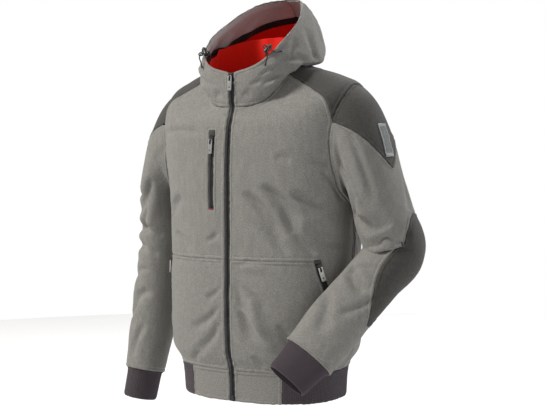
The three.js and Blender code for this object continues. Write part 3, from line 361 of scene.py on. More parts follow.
# The two fronts: grey bonded softshell, 1.8 mm with its knitted back. Each is cut from hem to neck,
# with a yoke seam, an armhole and a side seam, and sewn with the seam turned under and topstitched.
CLOTH = 1.8
SEAM_GAP = 0.1
SEAM_DIP = 1.25               # how far a panel rolls down into its seam
STITCH_LINE = 6.4             # from a seam to its topstitching
SEAM_ROLL, PUCKER_REACH = 1.9, 11      # how far from a seam its roll and its puckers reach
WELT, WELT_EDGE, WELT_SLOPE = 0.9, 4.5, 4    # the folded edge inside a seam: height, width and slope
GROOVE, GROOVE_WIDTH = 0.9, 1.3        # where the topstitching pulls the cloth in
TORSO = [               # level, front, side and back heights, half width, front, middle, back, squareness
    (0, -641, -642, -641, 167, -127, 0, 122, 2.4), (1, -580, -581, -580, 173, -131, 0, 127, 2.4),
    (2, -540, -538, -540, 195, -143, 0, 142, 2.4), (3, -460, -460, -460, 199, -147, 0, 146, 2.4),
    (4, -362, -362, -362, 197, -146, 0, 142, 2.4), (5, -268, -270, -270, 200, -146, 0, 140, 2.4),
    (6, -196, -195, -190, 206, -146, 2, 142, 2.5), (7, -146, -125, -120, 211, -144, 5, 141, 2.6),
    (8, -112, -62, -60, 211, -141, 8, 132, 2.6), (9, -98, -22, -12, 201, -138, 8, 112, 2.5),
    (10, -86, -5, 10, 168, -134, 0, 88, 2.4), (11, -76, 8, 21, 128, -130, -16, 68, 2.2),
    (12, -67, 18, 28, 88, -127, -38, 50, 2.1)]
BODY_FOLDS = [                # from angle and level, to angle and level, bow, width, depth
    (14, 5.5, 42, 4.4, 8, 13, -5), (28, 5.7, 50, 4.6, 9, 14, -6), (46, 5.5, 66, 5.2, -5, 12, -4),
    (8, 3.6, 22, 2.3, -7, 13, -4), (20, 3.3, 38, 2.1, -8, 14, 4), (318, 5.3, 296, 4.8, -6, 14, -4),
    (130, 5.6, 165, 4.7, 8, 18, -5),
    (232, 5.4, 200, 4.4, -8, 18, -5), (150, 3.4, 205, 3.1, 10, 20, -5), (112, 3.2, 128, 2.1, -8, 16, -4),
    (17, 4.85, 45, 4.12, 6, 7, -3), (40, 5.1, 62, 4.12, -7, 8, -3.4), (46, 4.8, 76, 4.78, 3, 9, 2.4),
    (66, 4.34, 80, 4.3, 2, 7, -2), (36, 6.6, 45, 6.4, 4, 9, -1.6), (56, 6.4, 66, 6.3, 3, 9, -1.8),
    (65, 7.0, 79, 5.5, 6, 8, -3.4), (60, 6.2, 78, 5.3, 5, 8, -2.2), (308, 4.5, 326, 4.15, 4, 8, -2.6),
    (340, 4.35, 355, 4.6, -4, 7, -2.2), (296, 7.3, 338, 7.8, 4, 8, -1.6), (296, 7.0, 284, 5.6, -6, 9, -3),
    (12, 3.5, 31, 3.02, 5, 6, -2.4), (8, 3.1, 30, 2.48, 6, 7, 2.6), (12, 3.84, 32, 3.84, 3, 9, 1.8),
    (356, 3.5, 340, 3.2, 4, 7, -2.4), (354, 3.08, 326, 2.5, 6, 9, -2.8), (356, 2.8, 326, 1.7, 9, 10, -3),
    (38, 2.75, 49, 2.0, 5, 10, -3), (60, 2.6, 74, 1.7, -5, 10, -2.4), (300, 2.7, 286, 1.8, 6, 11, -3),
    (96, 4.6, 110, 3.6, 6, 12, -3), (264, 4.7, 250, 3.7, -6, 12, -3), (118, 6.4, 142, 6.0, 6, 11, -2.6),
    (242, 6.5, 216, 6.1, -6, 11, -2.6), (150, 7.4, 176, 7.6, 5, 12, 2), (205, 2.6, 228, 1.8, 7, 12, -3),
    (160, 2.4, 178, 1.6, -6, 12, -2.6), (170, 5.6, 196, 5.3, 5, 12, -2), (20, 1.9, 30, 1.25, 4, 8, -2),
    (332, 1.8, 322, 1.2, -4, 8, -2), (70, 1.9, 62, 1.3, 4, 9, -2)]
ZIP_WIDTH, POCKET_ZIP_WIDTH, CHEST_ZIP_MIDDLE = 11.6, 12.6, 38
NECK, WAIST_SEAM, POUCH_SEAM, POCKET_END, SIDE_SEAM = 12, 1, 4, 1.5, 92
CHEST_ZIP_LOW, CHEST_ZIP_HIGH = 5, 8
YOKE_FRONT, YOKE_BACK, YOKE_BOW, JUNCTION = 73, 115, 5, 72
ARMHOLE_ANGLE, ARMHOLE_LEVEL, ARMHOLE_HALF_ANGLE, ARMHOLE_HALF_LEVEL = 90.5, 7.1, 25.5, 1.9
POCKET_LINE = [(0, 82), (1, 80), (2, 78), (3, 72), (4, 62), (5, 56), (8, 47), (12, 45)]


def ease(t):
    c = np.clip(t, 0, 1)
    return c * c * (3 - 2 * c)


def curve_table(rows):
    """Smooth curves through the columns of a table, read at any value of its first column."""
    values = np.array(rows, float)
    keys, fields = values[:, 0], values[:, 1:]
    last = len(keys) - 1
    before = np.maximum(np.arange(last + 1) - 1, 0)
    after = np.minimum(np.arange(last + 1) + 1, last)
    slopes = (fields[after] - fields[before]) / (keys[after] - keys[before])[:, None]

    def read(at):
        at = np.asarray(at, float)
        i = np.minimum(np.searchsorted(keys[1:], at, "left"), last - 1)
        step = (keys[i + 1] - keys[i])[..., None]
        t = np.clip((at[..., None] - keys[i][..., None]) / step, 0, 1)
        u = 1 - t
        return (fields[i] * u * u * (1 + 2 * t) + slopes[i] * step * t * u * u
                + fields[i + 1] * t * t * (3 - 2 * t) - slopes[i + 1] * step * t * t * u)
    return read


torso_at = curve_table(TORSO)


def torso_form(angle, level):
    angle, level = np.broadcast_arrays(np.asarray(angle, float), np.asarray(level, float))
    z_front, z_side, z_back, half_width, front, middle, back, square = np.moveaxis(torso_at(level), -1, 0)
    s, c = np.sin(np.radians(angle)), np.cos(np.radians(angle))
    depth = np.where(c > 0, middle - front, back - middle)
    reach = ((np.abs(s) / half_width) ** square + (np.abs(c) / depth) ** square) ** (-1 / square)
    z = z_side + (np.where(c > 0, z_front, z_back) - z_side) * ease(np.abs(c))
    return np.stack([reach * s, middle - reach * c, z], -1)


def normal_of(form, p, q):
    step = 0.01
    return unit(np.cross(form(p + step, q) - form(p - step, q), form(p, q + step) - form(p, q - step)))


FOLD_SAG = 24


def folds_on(form, rows, strength=1.9):
    """Soft troughs and ridges along bowed lines on a form, as a height to add along its normal. How far
    the line dips below the cloth between its ends doesn't count, up to FOLD_SAG."""
    from_a, from_b, to_a, to_b, bow, width, depth = np.array(rows, float).T
    start, end = form(from_a, from_b), form(to_a, to_b)
    run = end - start
    normal = normal_of(form, (from_a + to_a) / 2, (from_b + to_b) / 2)
    sideways = unit(np.cross(normal, run)) * bow[:, None]

    def relief(point, normals):
        total = np.zeros(point.shape[:-1])
        for k in range(len(depth)):
            offset = point - start[k]
            t = np.clip(offset @ run[k] / run[k].dot(run[k]), 0, 1)
            gap = offset - t[..., None] * run[k] - 4 * (t * (1 - t))[..., None] * sideways[k]
            spread = width[k] * (0.75 + 0.5 * t)
            sag = (gap * normals).sum(-1)
            gap = gap - sag[..., None] * normals
            off = ((gap ** 2).sum(-1) + np.maximum(0, np.abs(sag) - FOLD_SAG) ** 2) / spread ** 2
            total += strength * depth[k] * (1 - (2 * t - 1) ** 4) * (1 - 0.7 * off) * np.exp(-0.7 * off)
        return total
    return relief


chance = np.random.default_rng(7)


def waves(count, shortest, longest, height):
    """Slight uneven waves, none alike, as a height at any point."""
    lengths = np.exp(chance.uniform(np.log(shortest), np.log(longest), count))
    headings = unit(chance.normal(size=(count, 3))) * (2 * math.pi / lengths)[:, None]
    starts = chance.uniform(0, 2 * math.pi, count)
    sizes = height * (lengths / longest) ** 0.7
    return lambda point: (np.sin(point @ headings.T + starts) * sizes).sum(-1)


slack_in_cloth = waves(12, 60, 170, 0.3)
pucker = waves(14, 9, 19, 0.2)
body_folds = folds_on(torso_form, BODY_FOLDS)


def body(angle, level):
    point = torso_form(angle, level)
    calm = 0.25 + 0.75 * ease((np.abs(point[..., 0]) - 6) / 34)     # the zip keeps the cloth straight
    normal = normal_of(torso_form, angle, level)
    height = body_folds(point, normal) * calm + slack_in_cloth(point) * calm
    return point + normal * height[..., None]


def graded(start, end, count):
    """Steps that are finer near both ends, where a panel rolls into its seams."""
    near = [0, 0.3, 0.65, 1, 1.3, 1.6, 1.9, 2.4]
    inside = list(range(3, count - 2))
    t = np.array(near + inside + [count - n for n in reversed(near)]) / count
    return start + (end - start) * t


def chained(*runs):
    return np.concatenate([run if k == 0 else run[1:] for k, run in enumerate(runs)])


def mirror_x(point):
    return point * np.array([-1.0, 1.0, 1.0])


def wall(name, form, p, q, keep=None, wrap=False, mirror=False, flip=False, out=0.0, thick=CLOTH,
         dip=SEAM_DIP,
         stitched=True, relief=None, gap=SEAM_GAP):
    """A closed wall of cloth on a form, over the kept cells of a grid of its two measures. Its edges roll
    down into their seams, with a stitched groove beside them, and it puckers a little there."""
    rows, columns = p.shape
    place, normal = form(p, q), normal_of(form, p, q)
    if mirror:
        place, normal = mirror_x(place), mirror_x(normal)
    turned_over = mirror != flip
    index = np.arange(rows * columns).reshape(rows, columns)
    right = np.roll(index, -1, 1) if wrap else index[:, 1:]
    left = index if wrap else index[:, :-1]
    cells = np.stack([left[:-1], right[:-1], right[1:], left[1:]], -1)
    cells = cells[keep] if keep is not None else cells.reshape(-1, 4)
    cell_rows, cell_columns = cells[:, 0] // columns, cells[:, 0] % columns
    if turned_over:
        cells = cells[:, ::-1]
    edges = np.stack([cells, np.roll(cells, -1, 1)], -1).reshape(-1, 2)
    size = rows * columns
    known = edges[:, 0] * size + edges[:, 1]
    rim = edges[~np.isin(edges[:, 1] * size + edges[:, 0], known)]
    points, normals = place.reshape(-1, 3), normal.reshape(-1, 3)
    inward = np.zeros_like(points)
    run = points[rim[:, 1]] - points[rim[:, 0]]
    for end in (0, 1):
        np.add.at(inward, rim[:, end], unit(np.cross(normals[rim[:, end]], run)))
    used = np.unique(cells)
    shares = np.array([0.0, 0.25, 0.5, 0.75])
    rim_points = (points[rim[:, 0]][:, None] + run[:, None] * shares[None, :, None]).reshape(-1, 3)
    tree = KDTree(len(rim_points))
    for k, point in enumerate(rim_points):
        tree.insert(point, k)
    tree.balance()
    away = np.array([tree.find(point)[2] for point in points[used]])
    height = np.full(len(used), float(out))
    height -= dip * np.exp(-(away / SEAM_ROLL) ** 2) * (1 + 0.25 * slack_in_cloth(points[used] * 3))
    height += pucker(points[used]) * np.exp(-away / PUCKER_REACH)
    if stitched:
        height += WELT * (1 - ease((away - WELT_EDGE) / WELT_SLOPE))
        height -= GROOVE * np.exp(-((away - STITCH_LINE) / GROOVE_WIDTH) ** 2)
    if relief is not None:
        height += relief(p.ravel()[used], q.ravel()[used], away)
    base = points[used] + unit(inward[used]) * (np.linalg.norm(inward[used], axis=1) > 0)[:, None] * gap
    outer = base + normals[used] * height[:, None]
    inner = base + normals[used] * (out - thick)
    order = np.full(size, -1)
    order[used] = np.arange(len(used))
    count = len(used)
    faces = np.vstack([order[cells], order[cells][:, ::-1] + count,
                       np.stack([order[rim[:, 1]], order[rim[:, 0]], order[rim[:, 0]] + count,
                                 order[rim[:, 1]] + count], -1)])
    across = np.linalg.norm(np.diff(place, axis=1), axis=-1)
    along = np.linalg.norm(np.diff(place, axis=0), axis=-1)
    u = np.concatenate([np.zeros((rows, 1)), np.cumsum(across, 1)], 1)
    v = np.concatenate([np.zeros((1, columns)), np.cumsum(along, 0)], 0)
    u -= u[:, columns // 2:columns // 2 + 1]
    weave = np.stack([u, v, np.zeros_like(u)], -1).reshape(-1, 3)[used]
    made = cloth_mesh(name, np.vstack([outer, inner]), faces, np.vstack([weave, weave]))
    corner = points[cells]
    cell_area = 0.5 * np.linalg.norm(np.cross(corner[:, 2] - corner[:, 0], corner[:, 3] - corner[:, 1]),
                                     axis=1)
    cell_side = 0.5 * (np.linalg.norm(corner[:, 3] - corner[:, 0], axis=1)
                       + np.linalg.norm(corner[:, 2] - corner[:, 1], axis=1))
    wide = np.bincount(cell_rows, cell_area / cell_side).max()
    long = np.bincount(cell_columns, cell_side).max()
    return made


def softshell(name, dark, middle, light):
    """Bonded cloth with a fine uneven knit face: heathered streaks, small slubs and a soft nap."""
    material, tree, shader = finish_of(name, 0.88, sheen=0.12, specular=0.2)
    streak = node(tree, "ShaderNodeTexNoise", {"Vector": stretched(tree, (1300.0, 300.0, 1.0)),
                                               "Scale": 1.0, "Detail": 3.0,
                                               "Roughness": 0.65}).outputs["Fac"]
    slub = node(tree, "ShaderNodeTexNoise", {"Vector": stretched(tree, (420.0, 900.0, 1.0)), "Scale": 1.0,
                                             "Detail": 2.0, "Roughness": 0.6}).outputs["Fac"]
    cloud = node(tree, "ShaderNodeTexNoise", {"Scale": 22.0, "Detail": 2.0}).outputs["Fac"]
    blend = node(tree, "ShaderNodeMath", {0: streak, 1: slub}, operation="ADD").outputs[0]
    blend = node(tree, "ShaderNodeMath", {0: cloud, 1: 0.25, 2: blend}, operation="MULTIPLY_ADD").outputs[0]
    spread = node(tree, "ShaderNodeMapRange", {"Value": blend, "From Min": 0.78,
                                               "From Max": 1.48}).outputs["Result"]
    tree.links.new(ramp(tree, spread, (0.1, dark), (0.5, middle), (0.9, light)), shader.inputs["Base Color"])
    knit = node(tree, "ShaderNodeTexWave", {"Vector": stretched(tree, (2600.0, 0.0, 0.0)), "Scale": 0.5,
                                            "Distortion": 0.6}).outputs["Fac"]
    loops = node(tree, "ShaderNodeTexWave", {"Vector": stretched(tree, (0.0, 2200.0, 0.0)), "Scale": 0.5},
                 bands_direction="Y").outputs["Fac"]
    surface = node(tree, "ShaderNodeMath", {0: knit, 1: loops}, operation="MULTIPLY").outputs[0]
    surface = node(tree, "ShaderNodeMath", {0: streak, 1: 1.2, 2: surface},
                   operation="MULTIPLY_ADD").outputs[0]
    bump(tree, shader, surface, 0.09, 0.8)
    return material


grey_cloth = softshell("grey_cloth", tinted(100, 99, 95), tinted(124, 122, 117), tinted(149, 147, 141))
dark_cloth = softshell("dark_cloth", tinted(54, 53, 50), tinted(69, 67, 64), tinted(86, 84, 80))


def read_table(rows, at):
    return curve_table(rows)(at)[..., 0]


def depth_at(level):
    row = torso_at(level)
    return row[..., 5] - row[..., 4]


def angle_at(x, level):
    return np.degrees(np.arctan(x / depth_at(level)))


def armhole(turn):
    turn = np.radians(turn)
    return (ARMHOLE_ANGLE - ARMHOLE_HALF_ANGLE * np.sin(turn),
            ARMHOLE_LEVEL + ARMHOLE_HALF_LEVEL * np.cos(turn))


def yoke_seam(u, t):
    """The yoke's outline: u from its front seam to its back seam, t from the neck to the armhole."""
    arm_angle, arm_level = armhole(JUNCTION - 2 * JUNCTION * u)
    bow = YOKE_BOW * 4 * t * (1 - t) * (1 - 2 * u)
    neck = YOKE_FRONT + (YOKE_BACK - YOKE_FRONT) * u
    return neck + (arm_angle - neck) * t - bow, NECK + (arm_level - NECK) * t


PANEL_GAP = ZIP_WIDTH / 2 + 0.2
POCKET_HALF = math.degrees(POCKET_ZIP_WIDTH / 2 / 186)
yoke_t, arm_t = graded(0, 1, 34), graded(0, 1, 42)
side_levels = chained(graded(4.6, POUCH_SEAM, 14), graded(POUCH_SEAM, POCKET_END, 62),
                      graded(POCKET_END, WAIST_SEAM, 10))
lead = np.linspace(0, 1, 6)
front_zip_levels = chained(NECK + (CHEST_ZIP_HIGH - NECK) * yoke_t,
                           CHEST_ZIP_HIGH + (CHEST_ZIP_LOW - CHEST_ZIP_HIGH) * arm_t,
                           5 - 0.5 * lead, np.minimum(side_levels, 4.5))
front_edge_angles = chained(yoke_seam(0, yoke_t)[0], armhole(JUNCTION + (180 - JUNCTION) * arm_t)[0],
                            ARMHOLE_ANGLE + (SIDE_SEAM - ARMHOLE_ANGLE) * lead,
                            np.full(len(side_levels), SIDE_SEAM))
front_edge_levels = chained(yoke_seam(0, yoke_t)[1], armhole(JUNCTION + (180 - JUNCTION) * arm_t)[1],
                            5.2 - 0.6 * lead, side_levels)
first_pouch_row = len(front_zip_levels) - len(side_levels) + int(np.argmin(abs(side_levels - POUCH_SEAM)))
pocket_end_row = len(front_zip_levels) - len(side_levels) + int(np.argmin(abs(side_levels - POCKET_END)))
chest_top_row, chest_foot_row = len(yoke_t) - 1, len(yoke_t) + len(arm_t) - 2
stops = [graded(0, 1, 8), np.linspace(0, 1, 7), graded(0, 1, 30), np.linspace(0, 1, 7), graded(0, 1, 22)]
zip_angle = angle_at(PANEL_GAP, front_zip_levels)
pocket_angle = read_table(POCKET_LINE, front_zip_levels)
column_ends = [zip_angle, angle_at(CHEST_ZIP_MIDDLE - POCKET_ZIP_WIDTH / 2, front_zip_levels),
               angle_at(CHEST_ZIP_MIDDLE + POCKET_ZIP_WIDTH / 2, front_zip_levels),
               pocket_angle - POCKET_HALF, pocket_angle + POCKET_HALF, front_edge_angles]
runs = [a[:, None] + (b - a)[:, None] * t for a, b, t in zip(column_ends, column_ends[1:], stops)]
front_p = np.concatenate([run if k == 0 else run[:, 1:] for k, run in enumerate(runs)], 1)
share = (front_p - zip_angle[:, None]) / (front_edge_angles - zip_angle)[:, None]
front_q = front_zip_levels[:, None] + (front_edge_levels - front_zip_levels)[:, None] * share
starts = np.cumsum([0] + [len(t) - 1 for t in stops])
chest_columns, pocket_columns = (starts[1], starts[2]), (starts[3], starts[4])
row_cells, column_cells = front_p.shape[0] - 1, front_p.shape[1] - 1
cell_row, cell_column = np.mgrid[0:row_cells, 0:column_cells]
is_chest_zip = ((cell_row >= chest_top_row) & (cell_row < chest_foot_row)
                & (cell_column >= chest_columns[0]) & (cell_column < chest_columns[1]))
below_pouch_seam = cell_row >= first_pouch_row
is_pocket_zip = (below_pouch_seam & (cell_row < pocket_end_row)
                 & (cell_column >= pocket_columns[0]) & (cell_column < pocket_columns[1]))
is_pouch = below_pouch_seam & ((cell_column < pocket_columns[0])
                               | ((cell_column < pocket_columns[1]) & (cell_row >= pocket_end_row)))


def front_wall(name, side, keep, **settings):
    """A wall on the front's grid. The wearer's right is the same cut, turned over."""
    p = front_p if side == "left" else 360 - front_p
    return wall(name, body, p, front_q, keep=keep, flip=side == "left", **settings)


for side in ("left", "right"):
    hole = is_pouch | is_pocket_zip | (is_chest_zip if side == "right" else False)
    front = front_wall(f"front_{side}_panel", side, ~hole)
    fit(front, grey_cloth, "grey_cloth", f"front_{side}")

# Topstitching: polyester thread lying in the groove beside a seam, eight stitches to the inch. All the
# stitches are joined into one piece.
STITCH_PITCH, STITCH_LENGTH, STITCH_RADIUS = 3.2, 2.7, 0.42
STITCH_SIDES = 5
STITCH_SINK = 0.25            # how far the thread's middle lies in the cloth
stitch_runs = []


def stitch_beside(form, edge_p, edge_q, inner_p, inner_q, away=STITCH_LINE, mirror=False):
    """Notes a line of stitches at a distance from an edge, on the way to the points further in."""
    edge_p, edge_q, inner_p, inner_q = (np.asarray(v, float) for v in (edge_p, edge_q, inner_p, inner_q))
    reach = np.linalg.norm(form(inner_p, inner_q) - form(edge_p, edge_q), axis=-1)
    p = edge_p + (inner_p - edge_p) * away / reach
    q = edge_q + (inner_q - edge_q) * away / reach
    point, normal = form(p, q), normal_of(form, p, q)
    point = point - normal * STITCH_SINK
    if mirror:
        point, normal = mirror_x(point), mirror_x(normal)
    stitch_runs.append((point, normal))


def sew(name, runs, material, slot):
    """Lays every stitch of the noted lines, as one joined piece."""
    turn = np.linspace(0, 2 * math.pi, STITCH_SIDES, endpoint=False)
    half, radius = STITCH_LENGTH / 2, STITCH_RADIUS
    rings = [(-half, 0.25), (-half * 0.6, 0.95), (half * 0.6, 0.95), (half, 0.25)]
    template = np.array([(x, radius * r * math.cos(a), radius * r * math.sin(a) - radius * (1 - r) * 0.8)
                         for x, r in rings for a in turn])
    count = len(rings)
    shape = [(j * STITCH_SIDES + i, j * STITCH_SIDES + (i + 1) % STITCH_SIDES,
              (j + 1) * STITCH_SIDES + (i + 1) % STITCH_SIDES, (j + 1) * STITCH_SIDES + i)
             for j in range(count - 1) for i in range(STITCH_SIDES)]
    all_points, all_faces, total = [], [], 0
    for line, normals in runs:
        gone = np.concatenate([[0], np.cumsum(np.linalg.norm(np.diff(line, axis=0), axis=1))])
        middles = np.arange(STITCH_PITCH / 2, gone[-1], STITCH_PITCH)
        at = lambda values, where: np.stack([np.interp(where, gone, values[:, k]) for k in range(3)], -1)
        centre, up = at(line, middles), unit(at(normals, middles))
        ahead = unit(at(line, middles + 1) - at(line, middles - 1))
        aside = unit(np.cross(up, ahead))
        points = (centre[:, None] + template[None, :, :1] * ahead[:, None] + template[None, :,
                                                                                      1:2] * aside[:, None]
                  + template[None, :, 2:] * up[:, None])
        all_points.append(points.reshape(-1, 3))
        starts_at = total + np.arange(len(middles)) * len(template)
        all_faces.append((np.array(shape)[None] + starts_at[:, None, None]).reshape(-1, 4))
        total += len(middles) * len(template)
    return fit(cloth_mesh(name, np.vstack(all_points), np.vstack(all_faces)), material, slot)


for side in ("left", "right"):
    p = front_p if side == "left" else 360 - front_p
    stitch_beside(body, p[:, 0], front_q[:, 0], p[:, 7], front_q[:, 7])
    for row, inner, columns in ((0, 9, slice(2, None)),
                                (first_pouch_row, first_pouch_row - 8, slice(2, starts[3])),
                                (row_cells, row_cells - 8, slice(2, starts[3]))):
        stitch_beside(body, p[row, columns], front_q[row, columns], p[inner, columns],
                      front_q[inner, columns])
    top = slice(2, chest_top_row + 2)
    stitch_beside(body, p[top, -1], front_q[top, -1], p[top, -9], front_q[top, -9], away=3.0)
    stitch_beside(body, p[top, -1], front_q[top, -1], p[top, -9], front_q[top, -9])
    low = slice(first_pouch_row, pocket_end_row)
    for column, inner in ((starts[3], starts[3] - 8), (starts[4], starts[4] + 8)):
        stitch_beside(body, p[low, column], front_q[low, column], p[low, inner], front_q[low, inner],
                      away=3.2)
    if side == "right":
        high = slice(chest_top_row, chest_foot_row + 1)
        for column, inner in ((starts[1], starts[1] - 6), (starts[2], starts[2] + 8)):
            stitch_beside(body, p[high, column], front_q[high, column], p[high, inner],
                          front_q[high, inner], away=3.2)

# The pouches: the same cloth, set in under the pouch seam beside the zip, with a slanted pocket mouth
# along the outer side. Their top and side seams are topstitched like the fronts.
for side in ("left", "right"):
    pouch = front_wall(f"pouch_{side}_panel", side, is_pouch)
    fit(pouch, grey_cloth, "grey_cloth", f"pouch_{side}")

# The back: one panel of the same cloth from yoke to hem, with the hood's centre and side panels sewn to
# its neck and the sleeves to its armholes.
back_rows = [(yoke_seam(1, yoke_t)), armhole(360 - JUNCTION - (180 - JUNCTION) * arm_t),
             (ARMHOLE_ANGLE + (SIDE_SEAM - ARMHOLE_ANGLE) * lead, 5.2 - 0.6 * lead),
             (np.full(len(side_levels), SIDE_SEAM), side_levels)]
back_edge, back_level = (chained(*(row[k] for row in back_rows)) for k in (0, 1))
half_share = graded(0, 1, 40)[:-1] * 0.5
whole_share = np.concatenate([half_share, [0.5], 1 - half_share[::-1]])
back_p = back_edge[:, None] + (360 - 2 * back_edge)[:, None] * whole_share
back_q = np.repeat(back_level[:, None], len(whole_share), 1)
back = wall("back_panel", body, back_p, back_q, flip=True)
fit(back, grey_cloth, "grey_cloth", "back")
stitch_beside(body, back_p[0], back_q[0], back_p[9], back_q[9])
stitch_beside(body, back_p[-1], back_q[-1], back_p[-9], back_q[-9])
for column, inner in ((0, 9), (-1, -10)):
    stitch_beside(body, back_p[2:chest_top_row, column], back_q[2:chest_top_row, column],
                  back_p[2:chest_top_row, inner], back_q[2:chest_top_row, inner])

# The yokes: charcoal softshell over each shoulder, from the neck seam out to the top of the armhole.
yoke_v = graded(1, 0, 36)
yoke_u = graded(0, 1, 40)
yoke_p, yoke_q = yoke_seam(yoke_u[None, :], yoke_v[:, None])
for side in ("left", "right"):
    yoke = wall(f"yoke_{side}_panel", body, yoke_p if side == "left" else 360 - yoke_p, yoke_q,
                flip=side == "right")
    fit(yoke, dark_cloth, "dark_cloth", f"yoke_{side}")

# The hem: plain grey bands beside the zip, and round the rest a knitted rib, 61 mm deep and doubled, that
# draws the jacket in. The rib's wales stand up out of the knit.
RIB_THICK, RIB_PITCH, RIB_DEPTH = 2.2, 3.3, 0.75
hem_levels = graded(0, WAIST_SEAM, 17)
chest_edge, pocket_edge = front_p[-1, starts[2]], front_p[-1, starts[3]]
hem_join = chest_edge + (pocket_edge - chest_edge) * 2 / 5
band_angles = graded(front_p[-1, 0], hem_join, 26)


def grid(ps, qs):
    return np.meshgrid(ps, qs)


for side in ("left", "right"):
    p, q = grid(band_angles if side == "left" else 360 - band_angles, hem_levels)
    band = wall(f"hem_band_{side}_panel", body, p, q, flip=side == "right")
    fit(band, grey_cloth, "grey_cloth", f"hem_band_{side}")
    stitch_beside(body, p[:, 0], q[:, 0], p[:, 8], q[:, 8])
    stitch_beside(body, p[:, -1], q[:, -1], p[:, -8], q[:, -8], away=3.2)
    stitch_beside(body, p[0], q[0], p[8], q[8], away=9)


def wale_stops(form, start, end, level, pitch):
    """Places round a ring, four to a wale, so that the wales are all as wide."""
    fine = np.linspace(start, end, 1441)
    gone = np.concatenate([[0], np.cumsum(np.linalg.norm(np.diff(form(fine, np.full(1441, level)), axis=0),
                                                         axis=1))])
    wales = int(round(gone[-1] / pitch))
    return np.interp(np.linspace(0, gone[-1], 4 * wales + 1), gone, fine)


def rib_relief(stops, depth):
    """Rounded wales with narrow furrows between, flattened a little at the rib's two long edges."""
    heights = np.tile([-1.0, 0.35, 0.6, 0.35], len(stops) // 4 + 1)[:len(stops)] * depth

    def relief(p, q, away):
        return np.interp(p, stops, heights) * ease(away / 3)
    return relief


rib_knit, tree, shader = finish_of("rib_knit", 0.95, sheen=0.15, specular=0.15)
yarn = node(tree, "ShaderNodeTexNoise", {"Vector": stretched(tree, (900.0, 900.0, 1.0)), "Scale": 1.0,
                                         "Detail": 3.0, "Roughness": 0.7}).outputs["Fac"]
tree.links.new(ramp(tree, yarn, (0.25, tinted(58, 51, 55)), (0.55, tinted(75, 67, 72)),
                    (0.85, tinted(95, 86, 91))),
               shader.inputs["Base Color"])
courses = node(tree, "ShaderNodeTexWave", {"Vector": stretched(tree, (0.0, 1900.0, 0.0)), "Scale": 0.5,
                                           "Distortion": 1.2}, bands_direction="Y").outputs["Fac"]
bump(tree, shader, node(tree, "ShaderNodeMath", {0: courses, 1: yarn}, operation="ADD").outputs[0], 0.14)

rib_stops = wale_stops(body, hem_join, 360 - hem_join, 0.5, RIB_PITCH)
rib_levels = graded(0, WAIST_SEAM, 14)
p, q = grid(rib_stops, rib_levels)
hem_rib = wall("hem_rib_knit", body, p, q, thick=RIB_THICK, stitched=False, out=0.2, dip=1.4,
               relief=rib_relief(rib_stops, RIB_DEPTH))
fit(hem_rib, rib_knit, "rib_knit", "hem_rib")

# The sleeves: grey cloth tubes with a charcoal elbow patch let in, a charcoal cap over the shoulder and a
# knitted rib cuff. The left one is bent, with its hand at the pocket, and the right one hangs.
LEFT_SLEEVE = [               # place, middle x, y, z, broad and deep half sizes, turn
    (0, 204, 2, -136, 100, 78, 0), (0.1, 218, 0, -158, 68, 78, 0), (0.24, 250, -2, -222, 45, 78, 0),
    (0.38, 267, 6, -288, 52, 72, 0), (0.5, 281, 20, -346, 54, 64, 0), (0.58, 262, -30, -390, 55, 50, -15),
    (0.74, 232, -102, -455, 54, 38, -35), (0.9, 191, -167, -532, 52, 28, -38),
    (0.9001, 191, -167, -532, 47, 25, -38), (1, 167, -206, -572, 41, 22, -38)]
RIGHT_SLEEVE = [
    (0, 204, 2, -136, 100, 78, 0), (0.1, 216, 2, -158, 66, 78, 0), (0.24, 248, 6, -226, 42, 77, 0),
    (0.4, 256, 14, -318, 48, 69, 0), (0.54, 262, 6, -402, 49, 62, 0), (0.7, 272, -9, -498, 48, 54, 0),
    (0.84, 278, -28, -585, 42, 46, 0), (0.9, 279, -36, -617, 40, 42, 0), (0.9001, 279, -36, -617, 36, 38, 0),
    (1, 287, -44, -676, 34, 36, 0)]
